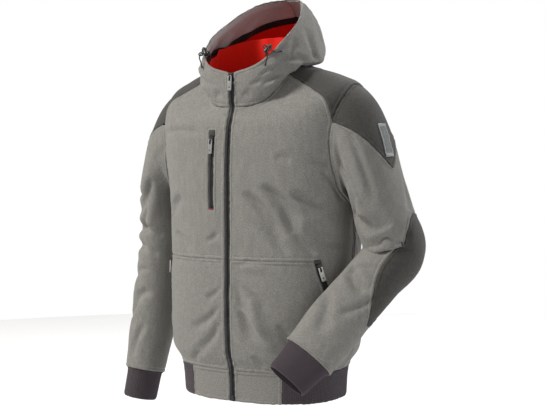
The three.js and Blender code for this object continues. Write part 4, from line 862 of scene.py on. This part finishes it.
SLEEVE_FOLDS = {              # from turn and place, to turn and place, bow, width, depth
    "left": [(96, 0.18, 40, 0.4, -10, 11, -5), (128, 0.3, 60, 0.47, 8, 12, -5),
             (150, 0.44, 40, 0.5, 6, 10, -4.5),
             (160, 0.52, 60, 0.56, 6, 10, -4.5), (110, 0.62, 40, 0.68, -8, 12, -5),
             (120, 0.72, 60, 0.84, 6, 12, -4),
             (250, 0.4, 300, 0.5, 8, 13, -4), (78, 0.03, 106, 0.23, -6, 7, -3),
             (106, 0.23, 124, 0.34, 5, 7, -3),
             (36, 0.58, 118, 0.65, -5, 7, -2.6), (36, 0.385, 104, 0.385, 6, 8, 2.6),
             (66, 0.1, 60, 0.3, 5, 8, -2.2), (22, 0.66, 60, 0.78, 5, 8, -2.2),
             (200, 0.2, 230, 0.36, 8, 11, -3),
             (210, 0.5, 290, 0.56, 6, 8, -4), (220, 0.58, 300, 0.63, -6, 8, -3.4),
             (240, 0.7, 300, 0.82, 7, 10, -3),
             (330, 0.24, 352, 0.36, 6, 12, -2), (10, 0.42, 30, 0.52, -6, 10, -2.4),
             (150, 0.66, 170, 0.84, 5, 9, -2.6)],
    "right": [(100, 0.2, 50, 0.34, -8, 12, -4), (130, 0.42, 30, 0.4, 10, 12, -5),
              (120, 0.5, 20, 0.47, 10, 11, -5),
              (110, 0.62, 40, 0.72, 8, 13, -4), (250, 0.45, 320, 0.4, 8, 13, -4),
              (70, 0.26, 20, 0.3, 6, 9, -2.6),
              (92, 0.3, 50, 0.42, -7, 9, -3), (100, 0.55, 30, 0.6, 7, 9, -2.8),
              (60, 0.68, 10, 0.8, 6, 11, -2.4),
              (110, 0.74, 80, 0.86, 5, 9, -2.6), (200, 0.25, 240, 0.4, 8, 12, -3),
              (220, 0.55, 290, 0.6, 8, 11, -3),
              (240, 0.68, 290, 0.8, -7, 11, -3), (330, 0.5, 350, 0.66, 6, 13, 2)]}
SLEEVE_END, SLEEVE_BLEND, SLEEVE_LEAD = 0.9, 0.26, np.array([258.0, 0.0, -150.0])
CAP_LENGTH, CAP_BOW = 0.22, 0.4
PATCHES = {"left": (0.375, 0.735, 70), "right": (0.36, 0.66, 40)}     # from, to, half angle
PATCH_TIP, PATCH_BOW, PATCH_CLEAR, PATCH_LEAD, PATCH_MIDDLE, PATCH_FULL = 6, 0.75, 0.4, 0.05, 342, 72


def sleeve_form(rows, side):
    """A sleeve as a left one: it leaves the body's own armhole and blends into rings round its middle."""
    at = curve_table(rows)
    count = 100
    places = np.arange(count + 1) / count
    heading = unit(at(np.minimum(1, places + 0.004))[:, :3] - at(np.maximum(0, places - 0.004))[:, :3])
    up, ups = np.array([0.0, 0.0, 1.0]), []
    for direction in heading:
        up = unit(up - direction * up.dot(direction))
        ups.append(up)
    ups = np.array(ups)
    fores = np.cross(heading, ups)

    def form(turn, s):
        turn, s = np.broadcast_arrays(np.asarray(turn, float), np.asarray(s, float))
        place = np.clip(s, 0, 1)
        x, y, z, broad, deep, tilt = np.moveaxis(at(place), -1, 0)
        i = np.clip(np.floor(place * count).astype(int), 0, count - 1)
        t = (place * count - i)[..., None]
        up1 = unit(ups[i] * (1 - t) + ups[i + 1] * t)
        fore = unit(fores[i] * (1 - t) + fores[i + 1] * t)
        tilt = np.radians(tilt)[..., None]
        broad_axis = up1 * np.cos(tilt) + fore * np.sin(tilt)
        deep_axis = fore * np.cos(tilt) - up1 * np.sin(tilt)
        around = np.radians(turn)[..., None] - tilt
        ring = (np.stack([x, y, z], -1) + broad_axis * broad[..., None] * np.cos(around)
                + deep_axis * deep[..., None] * np.sin(around))
        angle, level = armhole(turn)
        seam = body(angle, level) if side == "left" else mirror_x(body(360 - angle, level))
        seam = seam + SLEEVE_LEAD * place[..., None]
        share = ease(place / SLEEVE_BLEND)[..., None]
        return seam * (1 - share) + ring * share
    return form


def sleeve_surface(side, rows):
    form = sleeve_form(rows, side)
    relief = folds_on(form, SLEEVE_FOLDS[side], 2.1)

    def surface(turn, place):
        point = form(turn, place)
        fade = ease(place * 8) * ease((SLEEVE_END - place) * 20)
        normal = normal_of(form, turn, place)
        height = relief(point, normal) * fade + slack_in_cloth(point) * fade
        return point + normal * height[..., None]
    return surface


def cap_place(turn):
    offset = np.abs(np.where(turn > 180, turn - 360, turn))
    return CAP_LENGTH * np.maximum(0, 1 - offset / JUNCTION) ** CAP_BOW


def patch_turn(i, place, patch):
    """Columns 10 to 18 of 20 round the sleeve close in to the patch's outline, and the rest spread out."""
    begin, finish, half_angle = patch
    t = (place - begin) / (finish - begin)
    past = np.maximum(0, np.maximum(-t, t - 1))
    rounded = half_angle * np.sin(math.pi * np.clip(t, 0, 1)) ** PATCH_BOW
    half = np.where(past > 0, PATCH_TIP + (PATCH_FULL - PATCH_TIP) * np.minimum(1, past / PATCH_CLEAR),
                    np.maximum(PATCH_TIP, rounded))
    within = PATCH_MIDDLE + half * (-1 + 2 * (i - 10) / 8)
    beyond = PATCH_MIDDLE + half + (360 - 2 * half) * (i - 18) / 12
    return np.where(i <= 18, within, beyond)


sleeve_i = chained(graded(10, 18, 44), graded(18, 30, 74))[:-1]
sleeve_turn = (90 + 18 * sleeve_i) % 360
cuff_surfaces = {}
for side, rows in (("left", LEFT_SLEEVE), ("right", RIGHT_SLEEVE)):
    mirror = side == "right"
    surface = sleeve_surface(side, rows)
    cuff_surfaces[side] = surface
    patch = PATCHES[side]
    top_end = patch[0] - PATCH_LEAD
    t = graded(0, 1, 28)[:, None]
    top_q = cap_place(sleeve_turn)[None] * (1 - t) + top_end * t
    top_p = patch_turn(sleeve_i[None], CAP_LENGTH + (top_end - CAP_LENGTH) * t, patch)
    places = chained(np.linspace(top_end, patch[0], 9), graded(patch[0], patch[1], 56),
                     graded(patch[1], SLEEVE_END, 26))[1:]
    low_q = np.repeat(places[:, None], len(sleeve_i), 1)
    low_p = patch_turn(sleeve_i[None], places[:, None], patch)
    p, q = np.vstack([top_p, low_p]), np.vstack([top_q, low_q])
    first_row = len(t) + 7
    last_row = first_row + len(graded(0, 1, 56)) - 1
    cell_row, cell_column = np.mgrid[0:p.shape[0] - 1, 0:len(sleeve_i)]
    patch_cells = len(graded(10, 18, 44)) - 1
    is_patch = (cell_row >= first_row) & (cell_row < last_row) & (cell_column < patch_cells)
    tube_wall = wall(f"sleeve_{side}_tube", surface, p, q, keep=~is_patch, wrap=True, mirror=mirror)
    fit(tube_wall, grey_cloth, "grey_cloth", f"sleeve_{side}")
    elbow = wall(f"elbow_patch_{side}_panel", surface, p, q, keep=is_patch, wrap=True, mirror=mirror)
    fit(elbow, dark_cloth, "dark_cloth", f"elbow_patch_{side}")
    rows_in = slice(first_row, last_row + 1)
    for column, inner in ((0, -8), (patch_cells, patch_cells + 8)):
        for away in (3.0, STITCH_LINE):
            stitch_beside(surface, p[rows_in, column], q[rows_in, column],
                          p[rows_in, inner] - (360 if column == 0 else 0), q[rows_in, inner], away=away,
                          mirror=mirror)
    stitch_beside(surface, p[-1], q[-1], p[-8], q[-8], mirror=mirror)
    front_half = (sleeve_turn < 70) | (sleeve_turn > 290)
    order = np.argsort((sleeve_turn[front_half] + 180) % 360)
    for away in (3.0, STITCH_LINE):
        stitch_beside(surface, (top_p[0][front_half][order] + 180) % 360 - 180, top_q[0][front_half][order],
                      (top_p[0][front_half][order] + 180) % 360 - 180, top_q[0][front_half][order] + 0.05,
                      away=away, mirror=mirror)
    cap_turns = graded(-71.6, 71.6, 44)
    p, t = grid(cap_turns, graded(0, 1, 28))
    cap = wall(f"sleeve_cap_{side}_panel", surface, p, t * cap_place(p % 360), mirror=mirror)
    fit(cap, dark_cloth, "dark_cloth", f"sleeve_cap_{side}")

# The cuffs: doubled rib knit, 63 mm deep, gathered in from the sleeve's end and left open at the hand.
CUFF_START = 0.906
for side in ("left", "right"):
    surface = cuff_surfaces[side]
    stops = wale_stops(surface, 0, 360, 0.95, RIB_PITCH)
    rows = np.concatenate([[SLEEVE_END], graded(CUFF_START, 1, 18)])
    p, q = grid(stops[:-1], rows)
    cuff = wall(f"cuff_{side}_knit", surface, p, q, wrap=True, mirror=side == "right", thick=RIB_THICK,
                stitched=False, dip=1.2, relief=rib_relief(stops, RIB_DEPTH))
    fit(cuff, rib_knit, "rib_knit", f"cuff_{side}")

# The badge on the left cap: a small woven patch, bare, with a raised lighter border, sewn on flat.
BADGE_FROM, BADGE_TO, BADGE_TOP, BADGE_FOOT = -9, 11, 0.138, 0.198
BADGE_OUT, BADGE_THICK, BADGE_BORDER = 1.3, 1.2, 2.4
badge_weave, tree, shader = finish_of("badge_weave", 0.8, sheen=0.1)
satin = node(tree, "ShaderNodeTexWave", {"Vector": stretched(tree, (1400.0, 1400.0, 0.0)), "Scale": 0.5,
                                         "Distortion": 0.8}, bands_direction="DIAGONAL").outputs["Fac"]
tree.links.new(ramp(tree, satin, (0.1, tinted(98, 100, 101)), (0.9, tinted(124, 126, 127))),
               shader.inputs["Base Color"])
bump(tree, shader, satin, 0.1)
badge_edge, tree, shader = finish_of("badge_edge", 0.75, sheen=0.1)
satin = node(tree, "ShaderNodeTexWave", {"Vector": stretched(tree, (1100.0, 1100.0, 0.0)), "Scale": 0.5},
             bands_direction="DIAGONAL").outputs["Fac"]
tree.links.new(ramp(tree, satin, (0.1, tinted(142, 144, 145)), (0.9, tinted(168, 170, 171))),
               shader.inputs["Base Color"])
bump(tree, shader, satin, 0.15)
p, q = grid(np.linspace(BADGE_FROM, BADGE_TO, 21), np.linspace(BADGE_TOP, BADGE_FOOT, 21))
badge = wall("sleeve_badge_patch", cuff_surfaces["left"], p, q, out=BADGE_OUT, thick=BADGE_THICK, dip=0.3,
             stitched=False, gap=0)
fit(badge, badge_weave, "badge", "sleeve_badge")
ring_cells = np.ones((20, 20), bool)
ring_cells[2:-2, 2:-2] = False
badge_border = wall("sleeve_badge_border", cuff_surfaces["left"], p, q, keep=ring_cells, out=BADGE_OUT + 0.7,
                    thick=1.0, dip=0.45, stitched=False, gap=0)
fit(badge_border, badge_edge, "badge")

# The hood: two side panels and a centre panel in grey cloth, standing up from the neck seam as a high
# collar and rolled back at the opening.
HOOD = [                      # angle, edge x, y, z, then how far the rib leaves its foot and edge
    (4, 6, -130, 0, 3, 20, 3, -18), (30, 51, -126, 14, 8, 22, 5, -22), (55, 76, -109, 36, 38, 8, 10, -26),
    (73, 86, -86, 58, 60, -8, 4, -32), (90, 91, -56, 80, 74, -13, 2, -36),
    (115, 84, -8, 110, 95, -17, 8, -40),
    (135, 69, 26, 134, 110, -24, 24, -36), (158, 42, 64, 155, 126, -34, 62, -22),
    (180, 0, 84, 162, 130, -38, 86, -12)]
HOOD_FOLDS = [(38, 0.42, 74, 0.3, 6, 7, -4), (44, 0.2, 80, 0.1, 5, 7, -3), (104, 0.25, 122, 0.8, 8, 12, -4),
              (60, 0.75, 92, 0.35, 5, 9, -3), (34, 0.66, 70, 0.55, 3, 5, -2), (24, 0.5, 64, 0.42, 4, 7, -2),
              (14, 0.3, 26, 0.26, 4, 9, -2), (88, 0.3, 108, 0.55, -6, 9, -2.6),
              (120, 0.2, 146, 0.36, 6, 10, -2.4),
              (132, 0.5, 150, 0.8, 5, 10, -2.2), (76, 0.6, 96, 0.85, 4, 8, -2),
              (160, 0.3, 178, 0.5, 6, 14, -2.4)]
hood_at = curve_table(HOOD)


def hood_form(angle, rise):
    angle, rise = np.broadcast_arrays(np.asarray(angle, float), np.asarray(rise, float))
    edge_x, edge_y, edge_z, base_out, base_up, edge_out, edge_up = np.moveaxis(hood_at(angle), -1, 0)
    heading = np.stack([np.sin(np.radians(angle)), -np.cos(np.radians(angle)), np.zeros_like(angle)], -1)
    upright = np.array([0.0, 0.0, 1.0])
    foot = torso_form(angle, np.full_like(angle, NECK))
    edge = np.stack([edge_x, edge_y, edge_z], -1)
    low = foot + heading * base_out[..., None] + upright * base_up[..., None]
    high = edge + heading * edge_out[..., None] + upright * edge_up[..., None]
    t = np.clip(rise, -0.02, 1.02)[..., None]
    u = 1 - t
    return foot * u ** 3 + 3 * low * t * u * u + 3 * high * t * t * u + edge * t ** 3


hood_folds = folds_on(hood_form, HOOD_FOLDS, 1.4)


def hood_side(angle, rise):
    point = hood_form(angle, rise)
    normal = normal_of(hood_form, angle, rise)
    height = ease(rise * 6) * ease((1 - rise) * 8) * (hood_folds(point, normal) + slack_in_cloth(point))
    return point + normal * height[..., None]


def hood(angle, rise):
    folded = np.where(angle > 180, 360 - angle, angle)
    point = hood_side(folded, rise)
    return np.where((np.asarray(angle) > 180)[..., None], mirror_x(point), point)


HOOD_SEAM = 152               # the angle of the seams beside the centre panel
hood_start = float(angle_at(PANEL_GAP, np.array(float(NECK))))
hood_angles, hood_rises = graded(hood_start, HOOD_SEAM, 72), graded(0, 1, 54)
for side in ("left", "right"):
    p, q = grid(hood_angles, hood_rises)
    panel = wall(f"hood_{side}_panel", hood_side, p, q, mirror=side == "right")
    fit(panel, grey_cloth, "grey_cloth", f"hood_{side}")
    stitch_beside(hood_side, p[0], q[0], p[7], q[7], mirror=side == "right")
    stitch_beside(hood_side, p[:, -1], q[:, -1], p[:, -9], q[:, -9], mirror=side == "right")
    stitch_beside(hood_side, p[:, 0], q[:, 0], p[:, 8], q[:, 8], mirror=side == "right")
p, q = grid(graded(HOOD_SEAM, 360 - HOOD_SEAM, 40), hood_rises)
centre = wall("hood_centre_panel", hood, p, q)
fit(centre, grey_cloth, "grey_cloth", "hood_centre")

# Inside the hood: a facing of the shell cloth along the opening, painted lighter than the shell as painted
# light that makes up for the shade inside the hood, a woven black tape over its seam, and the red lining
# below, which is a smooth warp knit. The facing starts at the cord locks.
FACING = [(50, 8, 4), (62, 14, 11), (73, 20, 15), (95, 34, 15), (120, 48, 15), (180, 56, 15)]
FACING_START, RIM_GAP, SLACK, LINING = 50, 0.8, 3, 1.0
EDGE_TURN, LINING_FOOT = 0.995, 0.03
facing_at = curve_table(FACING)


def rise_below_edge(angle, distance):
    rises = np.linspace(1, 0, 101)
    points = hood_form(angle[:, None], rises[None])
    gone = np.concatenate([np.zeros((len(angle), 1)),
                           np.cumsum(np.linalg.norm(np.diff(points, axis=1), axis=-1), 1)], 1)
    return np.array([np.interp(d, g, rises) for d, g in zip(distance, gone)])


def under_hood(angle, rise):
    """The inner side: what lies against the hood's wall, with some slack in the middle."""
    point = hood(angle, rise)
    folded = np.where(angle > 180, 360 - angle, angle)
    normal = normal_of(hood_form, folded, rise)
    normal = np.where((np.asarray(angle) > 180)[..., None], mirror_x(normal), normal)
    slack = CLOTH + RIM_GAP + SLACK * ease((1 - rise) * 12) * ease(rise * 8)
    return point - normal * slack[..., None]


# The facing's colours are painted light: the shell cloth made lighter to make up for the shade inside the
# hood.
facing_cloth = softshell("facing_cloth", tinted(152, 152, 151), tinted(172, 172, 171), tinted(192, 192, 191))
woven_tape, tree, shader = finish_of("woven_tape", 0.7, sheen=0.1)
rows_of = node(tree, "ShaderNodeTexWave", {"Vector": stretched(tree, (1500.0, 1500.0, 0.0)), "Scale": 0.5},
               bands_direction="DIAGONAL").outputs["Fac"]
tree.links.new(ramp(tree, rows_of, (0.1, tinted(10, 8, 8)), (0.9, tinted(26, 22, 22))),
               shader.inputs["Base Color"])
bump(tree, shader, rows_of, 0.12)
red_lining, tree, shader = finish_of("red_lining", 0.7, sheen=0.04, specular=0.15)
mesh_knit = node(tree, "ShaderNodeTexVoronoi", {"Vector": stretched(tree, (1100.0, 1100.0, 0.0)),
                                                "Scale": 1.0}
                 ).outputs["Distance"]
mottle = node(tree, "ShaderNodeTexNoise", {"Scale": 90.0, "Detail": 3.0}).outputs["Fac"]
tree.links.new(ramp(tree, mottle, (0.3, tinted(212, 24, 10)), (0.7, tinted(226, 34, 16))),
               shader.inputs["Base Color"])
bump(tree, shader, mesh_knit, 0.08)

half_round = np.concatenate([[FACING_START], np.linspace(FACING_START, 180, 90)[1:]])
facing_round = np.concatenate([half_round, 360 - half_round[-2::-1]])
folded_round = np.where(facing_round > 180, 360 - facing_round, facing_round)
widths = facing_at(folded_round)
facing_rise = rise_below_edge(folded_round, widths[:, 0])
tape_rise = rise_below_edge(folded_round, widths[:, 0] + widths[:, 1])


def between(ps, low, high, share):
    p = np.repeat(ps[None], len(share), 0)
    return p, low[None] + (high - low)[None] * share[:, None]


p, q = between(facing_round, facing_rise, np.full(len(facing_round), EDGE_TURN), graded(0, 1, 16))
facing = wall("hood_facing_strip", under_hood, p, q, thick=LINING, dip=0.4, stitched=False)
fit(facing, facing_cloth, "facing_cloth", "hood_facing")
p, q = between(facing_round, tape_rise, facing_rise, np.linspace(0, 1, 7))
tape = wall("hood_seam_tape", under_hood, p, q, thick=LINING + 0.5, dip=0.2, stitched=False)
fit(tape, woven_tape, "tape", "hood_tape")
front_half_round = np.linspace(hood_start, FACING_START, 26)
lining_half = np.concatenate([front_half_round[:-1], half_round])
lining_round = np.concatenate([lining_half, 360 - lining_half[-2::-1]])
plain = len(front_half_round) - 1
lining_top = np.concatenate([np.full(plain, EDGE_TURN), tape_rise, np.full(plain, EDGE_TURN)])
p, q = between(lining_round, np.full(len(lining_round), LINING_FOOT), lining_top, graded(0, 1, 20))
lining = wall("hood_lining_cloth", under_hood, p, q, thick=LINING, dip=0.4, stitched=False)
fit(lining, red_lining, "red_lining", "hood_lining")

# The inner collar: a stand of the red lining round the back of the neck, free along its top edge, which
# rises and falls in soft waves.
COLLAR = [(45, 2, 62, 12, 4.6), (60, -2, 56, 5, 4.4), (75, -8, 46, -1, 3.2), (90, -14, 50, -4, 1.4),
          (115, -18, 61, -2, 1.5), (150, -20, 70, 5, 2.4), (180, -20, 73, 8, 2.8)]
collar_at = curve_table(COLLAR)


def collar(angle, rise):
    angle, rise = np.broadcast_arrays(np.asarray(angle, float), np.asarray(rise, float))
    folded = np.where(angle > 180, 360 - angle, angle)
    foot, height, lean, inset = np.moveaxis(collar_at(folded), -1, 0)
    point = torso_form(folded, np.full_like(folded, NECK))
    point = np.where((angle > 180)[..., None], mirror_x(point), point)
    heading = np.stack([np.sin(np.radians(angle)), -np.cos(np.radians(angle)), np.zeros_like(angle)], -1)
    drape = 2.2 * rise * np.sin(np.radians(angle * 7 + 40)) + 1.4 * rise * np.sin(np.radians(angle * 16))
    point = point + heading * (lean * rise - inset + drape * rise)[..., None]
    point[..., 2] += foot + height * rise
    return point


p, q = grid(np.linspace(45, 315, 136), graded(0, 1, 18))
collar_wall = wall("inner_collar", collar, p, q, thick=LINING, dip=0.3, stitched=False)
fit(collar_wall, red_lining, "red_lining", "collar_lining")

# The front zip: black woven tape sewn between the fronts from hem to collar, with moulded teeth along
# its middle, a die-cast slider at the top, a nickel pull tab and a box at its foot.
ZIP_THICK = 1.6
TOOTH_PITCH, TOOTH_SIZE = 1.7, (2.5, 0.95, 1.3)
zip_tape_weave, tree, shader = finish_of("zip_tape_weave", 0.72, sheen=0.1)
ribs = node(tree, "ShaderNodeTexWave", {"Vector": stretched(tree, (0.0, 1600.0, 0.0)), "Scale": 0.5},
            bands_direction="Y").outputs["Fac"]
tree.links.new(ramp(tree, ribs, (0.1, tinted(28, 27, 27)), (0.9, tinted(50, 48, 48))),
               shader.inputs["Base Color"])
bump(tree, shader, ribs, 0.14)
tooth_resin, tree, shader = finish_of("tooth_resin", 0.38, specular=0.5)
grain = node(tree, "ShaderNodeTexNoise", {"Scale": 1500.0}).outputs["Fac"]
tree.links.new(ramp(tree, grain, (0.3, tinted(34, 33, 34)), (0.7, tinted(54, 53, 54))),
               shader.inputs["Base Color"])
bump(tree, shader, grain, 0.02)


def zip_line(x, rise):
    x, rise = np.broadcast_arrays(np.asarray(x, float), np.asarray(rise, float))
    low = body(np.zeros_like(rise), np.clip(rise, 0, NECK))
    high = hood_side(np.full_like(rise, hood_start), np.clip(rise - NECK, 0, 1))
    middle = np.where((rise <= NECK)[..., None], low, high)
    return np.stack([x, middle[..., 1], middle[..., 2]], -1)


def teeth(name, line, normals, size, pitch, material, slot):
    """A row of moulded teeth on a line, left and right in turn, joined into one piece."""
    half_x, half_y, high = size[0] / 2, size[1] / 2, size[2]
    outline = [(-1, -0.6, 0), (-1, 0.6, 0), (1, 1, 0), (1, -1, 0), (-0.9, -0.5, 0.8), (-0.9, 0.5, 0.8),
               (0.8, 0.85, 0.8), (0.8, -0.85, 0.8), (-0.6, -0.25, 1), (-0.6, 0.25, 1), (0.55, 0.5, 1),
               (0.55, -0.5, 1)]
    template = np.array(outline) * (half_x, half_y, high)
    shape = np.array([(0, 1, 5, 4), (1, 2, 6, 5), (2, 3, 7, 6), (3, 0, 4, 7), (4, 5, 9, 8), (5, 6, 10, 9),
                      (6, 7, 11, 10), (7, 4, 8, 11), (8, 9, 10, 11), (3, 2, 1, 0)])
    gone = np.concatenate([[0], np.cumsum(np.linalg.norm(np.diff(line, axis=0), axis=1))])
    middles = np.arange(pitch, gone[-1] - pitch, pitch / 2)
    at = lambda values, where: np.stack([np.interp(where, gone, values[:, k]) for k in range(3)], -1)
    centre, up = at(line, middles), unit(at(normals, middles))
    ahead = unit(at(line, middles + 1) - at(line, middles - 1))
    aside = unit(np.cross(ahead, up)) * np.where(np.arange(len(middles)) % 2, 1, -1)[:, None]
    ahead = np.where((np.arange(len(middles)) % 2 == 1)[:, None], ahead, -ahead)
    points = (centre[:, None] + (template[None, :, :1] - half_x * 0.62) * -aside[:, None]
              + template[None, :, 1:2] * ahead[:, None] + template[None, :, 2:] * up[:, None])
    faces = (shape[None] + (np.arange(len(middles)) * len(template))[:, None, None]).reshape(-1, 4)
    made = cloth_mesh(name, points.reshape(-1, 3), faces[:, ::-1], smooth=False)
    return fit(made, material, slot)


zip_rises = np.concatenate([np.linspace(0, NECK, 260), NECK + np.linspace(0, 1, 40)[1:]])
p, q = grid(np.array([-5.8, -5.0, -3.8, -3.2, -2.4, 0, 2.4, 3.2, 3.8, 5.0, 5.8]), zip_rises)
front_tape = wall("front_zip_tape", zip_line, p, q, out=0.1, thick=ZIP_THICK, dip=0.4, stitched=False, gap=0,
                  relief=lambda p, q, away: (0.35 * np.exp(-(p / 2.6) ** 4)
                                             - 0.3 * np.exp(-((np.abs(p) - 3.5) / 0.4) ** 2)))
fit(front_tape, zip_tape_weave, "zip_tape", "front_zip")
line = zip_line(np.zeros(len(zip_rises)), zip_rises)
normals = normal_of(zip_line, np.zeros(len(zip_rises)), np.clip(zip_rises, 0.02, NECK + 0.98))
teeth("front_zip_teeth", line + normals * 0.4, normals, TOOTH_SIZE, TOOTH_PITCH, tooth_resin, "zip_tape")

# The pocket zips: the same make, lighter, with a nylon coil. One stands on the right chest and one
# slants along each pouch. The chest zip has a bartack at both ends, each pouch zip one at its foot, and
# each has a small cloth garage at its top.
COIL_SIZE, COIL_PITCH = (2.0, 0.62, 0.8), 1.1
BARTACK = (10.5, 1.7, 0.7)


def bartack(name, centre, across, up, material):
    """A close zigzag of thread across a zip's end, as a row of raised threads."""
    long, wide, high = BARTACK
    count = 13
    turn = np.linspace(0, 2 * math.pi, 6, endpoint=False)
    points, faces = [], []
    along = np.cross(up, across)
    for k in range(count):
        x = (k / (count - 1) - 0.5) * long
        lean = 0.35 if k % 2 else -0.35
        for s, r in ((-1, 0.3), (-0.7, 1.0), (0.7, 1.0), (1, 0.3)):
            for a in turn:
                points.append(centre + across * (x + lean * s + 0.42 * r * math.cos(a))
                              + along * (s * wide / 2)
                              + up * (0.15 + 0.42 * r * math.sin(a) * high))
        for j in range(3):
            for i in range(6):
                first = k * 24 + j * 6
                faces.append((first + i, first + (i + 1) % 6, first + 6 + (i + 1) % 6, first + 6 + i))
    return fit(cloth_mesh(name, points, faces), material, "red_lining")


tack_thread, tree, shader = finish_of("tack_thread", 0.6, sheen=0.2)
twist = node(tree, "ShaderNodeTexNoise", {"Scale": 900.0, "Detail": 2.0}).outputs["Fac"]
tree.links.new(ramp(tree, twist, (0.3, tinted(160, 40, 62)), (0.7, tinted(190, 64, 86))),
               shader.inputs["Base Color"])
bump(tree, shader, twist, 0.05)

zip_lines = {"chest": ("right", is_chest_zip, chest_columns, slice(chest_top_row, chest_foot_row + 1),
                       "chest_zip"),
             "pocket_left": ("left", is_pocket_zip, pocket_columns,
                             slice(first_pouch_row, pocket_end_row + 1),
                             "pocket_zip_left"),
             "pocket_right": ("right", is_pocket_zip, pocket_columns,
                              slice(first_pouch_row, pocket_end_row + 1),
                              "pocket_zip_right")}
for name, (side, cells, columns, rows, solid) in zip_lines.items():
    tape_wall = front_wall(f"{name}_zip_tape", side, cells, out=-0.3, thick=1.4, dip=0.3, stitched=False)
    fit(tape_wall, zip_tape_weave, "zip_tape", solid)
    middle = (columns[0] + columns[1]) // 2
    p = front_p[rows, middle] if side == "left" else 360 - front_p[rows, middle]
    q = front_q[rows, middle]
    line, normals = body(p, q), normal_of(body, p, q)
    teeth(f"{name}_zip_coil", line, normals, COIL_SIZE, COIL_PITCH, tooth_resin, "zip_tape")
    along = unit(np.gradient(line, axis=0))
    for end, k in (("top", 1), ("foot", -2)):
        across = unit(np.cross(along[k], normals[k]))
        if name == "chest" or end == "foot":
            bartack(f"{name}_bartack_{end}", line[k] + normals[k] * 0.3, across, normals[k], tack_thread)

# Sliders, pull tabs, the zip box and the garages. The sliders are black enamelled die-castings, and each
# nickel tab hangs from its slider's loop, with a window and a small hole.
nickel, tree, shader = finish_of("nickel", 0.3, metallic=1.0)
brushed = node(tree, "ShaderNodeTexNoise", {"Scale": 700.0, "Detail": 4.0}).outputs["Fac"]
tree.links.new(ramp(tree, brushed, (0.3, tinted(196, 195, 190)), (0.7, tinted(226, 225, 220))),
               shader.inputs["Base Color"])
bump(tree, shader, brushed, 0.015)
black_enamel, tree, shader = finish_of("black_enamel", 0.35, specular=0.55)
speckle = node(tree, "ShaderNodeTexNoise", {"Scale": 1800.0}).outputs["Fac"]
tree.links.new(ramp(tree, speckle, (0.3, tinted(34, 33, 34)), (0.7, tinted(54, 53, 54))),
               shader.inputs["Base Color"])
bump(tree, shader, speckle, 0.015)


def cast(solid, name, material, slot, body_name, edge):
    """The solid's own shape, with its edges rounded as a casting's are."""
    made = bpy.data.objects.new(name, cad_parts[solid].data.copy())
    made.data.materials.clear()
    bpy.context.scene.collection.objects.link(made)
    shaped(made, "WELD", merge_threshold=0.00001)
    shaped(made, "BEVEL", width=edge * MM, segments=3, limit_method="ANGLE", angle_limit=math.radians(32))
    made.data.polygons.foreach_set("use_smooth", [True] * len(made.data.polygons))
    return fit(made, material, slot, solid, body=body_name)


for name in ("front", "chest", "pocket_left", "pocket_right"):
    cast(f"{name}_slider", f"{name}_zip_slider", black_enamel, "zip_metal", "jacket", 0.45)
    cast(f"{name}_pull", f"{name}_zip_tab", nickel, "pull_metal", f"{name}_pull", 0.28)
cast("zip_box", "front_zip_box", black_plastic, "plastic", "jacket", 0.5)
GARAGE_HALF, GARAGE_OUT = 6.9, 1.5
pocket_line = lambda sign: lambda x, level: body(sign * (read_table(POCKET_LINE,
                                                                    level) + np.degrees(x / 186)), level)
chest_line = lambda x, level: body(-angle_at(CHEST_ZIP_MIDDLE + x, level), level)
for solid, form, levels, flip in (("chest_garage", chest_line, (7.64, 8.05), True),
                                  ("pocket_garage_left", pocket_line(1), (3.96, 4.04), False),
                                  ("pocket_garage_right", pocket_line(-1), (3.96, 4.04), True)):
    p, q = grid(np.linspace(-GARAGE_HALF, GARAGE_HALF, 17), np.linspace(levels[0], levels[1], 13))
    if flip:
        p = -p
    garage = wall(f"{solid}_cloth", (lambda form, flip: lambda x,
                                     level: form(-x if flip else x, level))(form, flip),
                  p, q, out=GARAGE_OUT, thick=1.0, dip=0.5, stitched=False, gap=0)
    fit(garage, dark_cloth, "dark_cloth", solid)

# The stitching is laid last, when every seam has noted its lines.
thread_grey, tree, shader = finish_of("thread_grey", 0.7, sheen=0.15)
twist = node(tree, "ShaderNodeTexNoise", {"Scale": 1200.0}).outputs["Fac"]
tree.links.new(ramp(tree, twist, (0.3, tinted(146, 144, 138)), (0.7, tinted(172, 170, 163))),
               shader.inputs["Base Color"])
sew("topstitching_grey", stitch_runs, thread_grey, "grey_cloth")
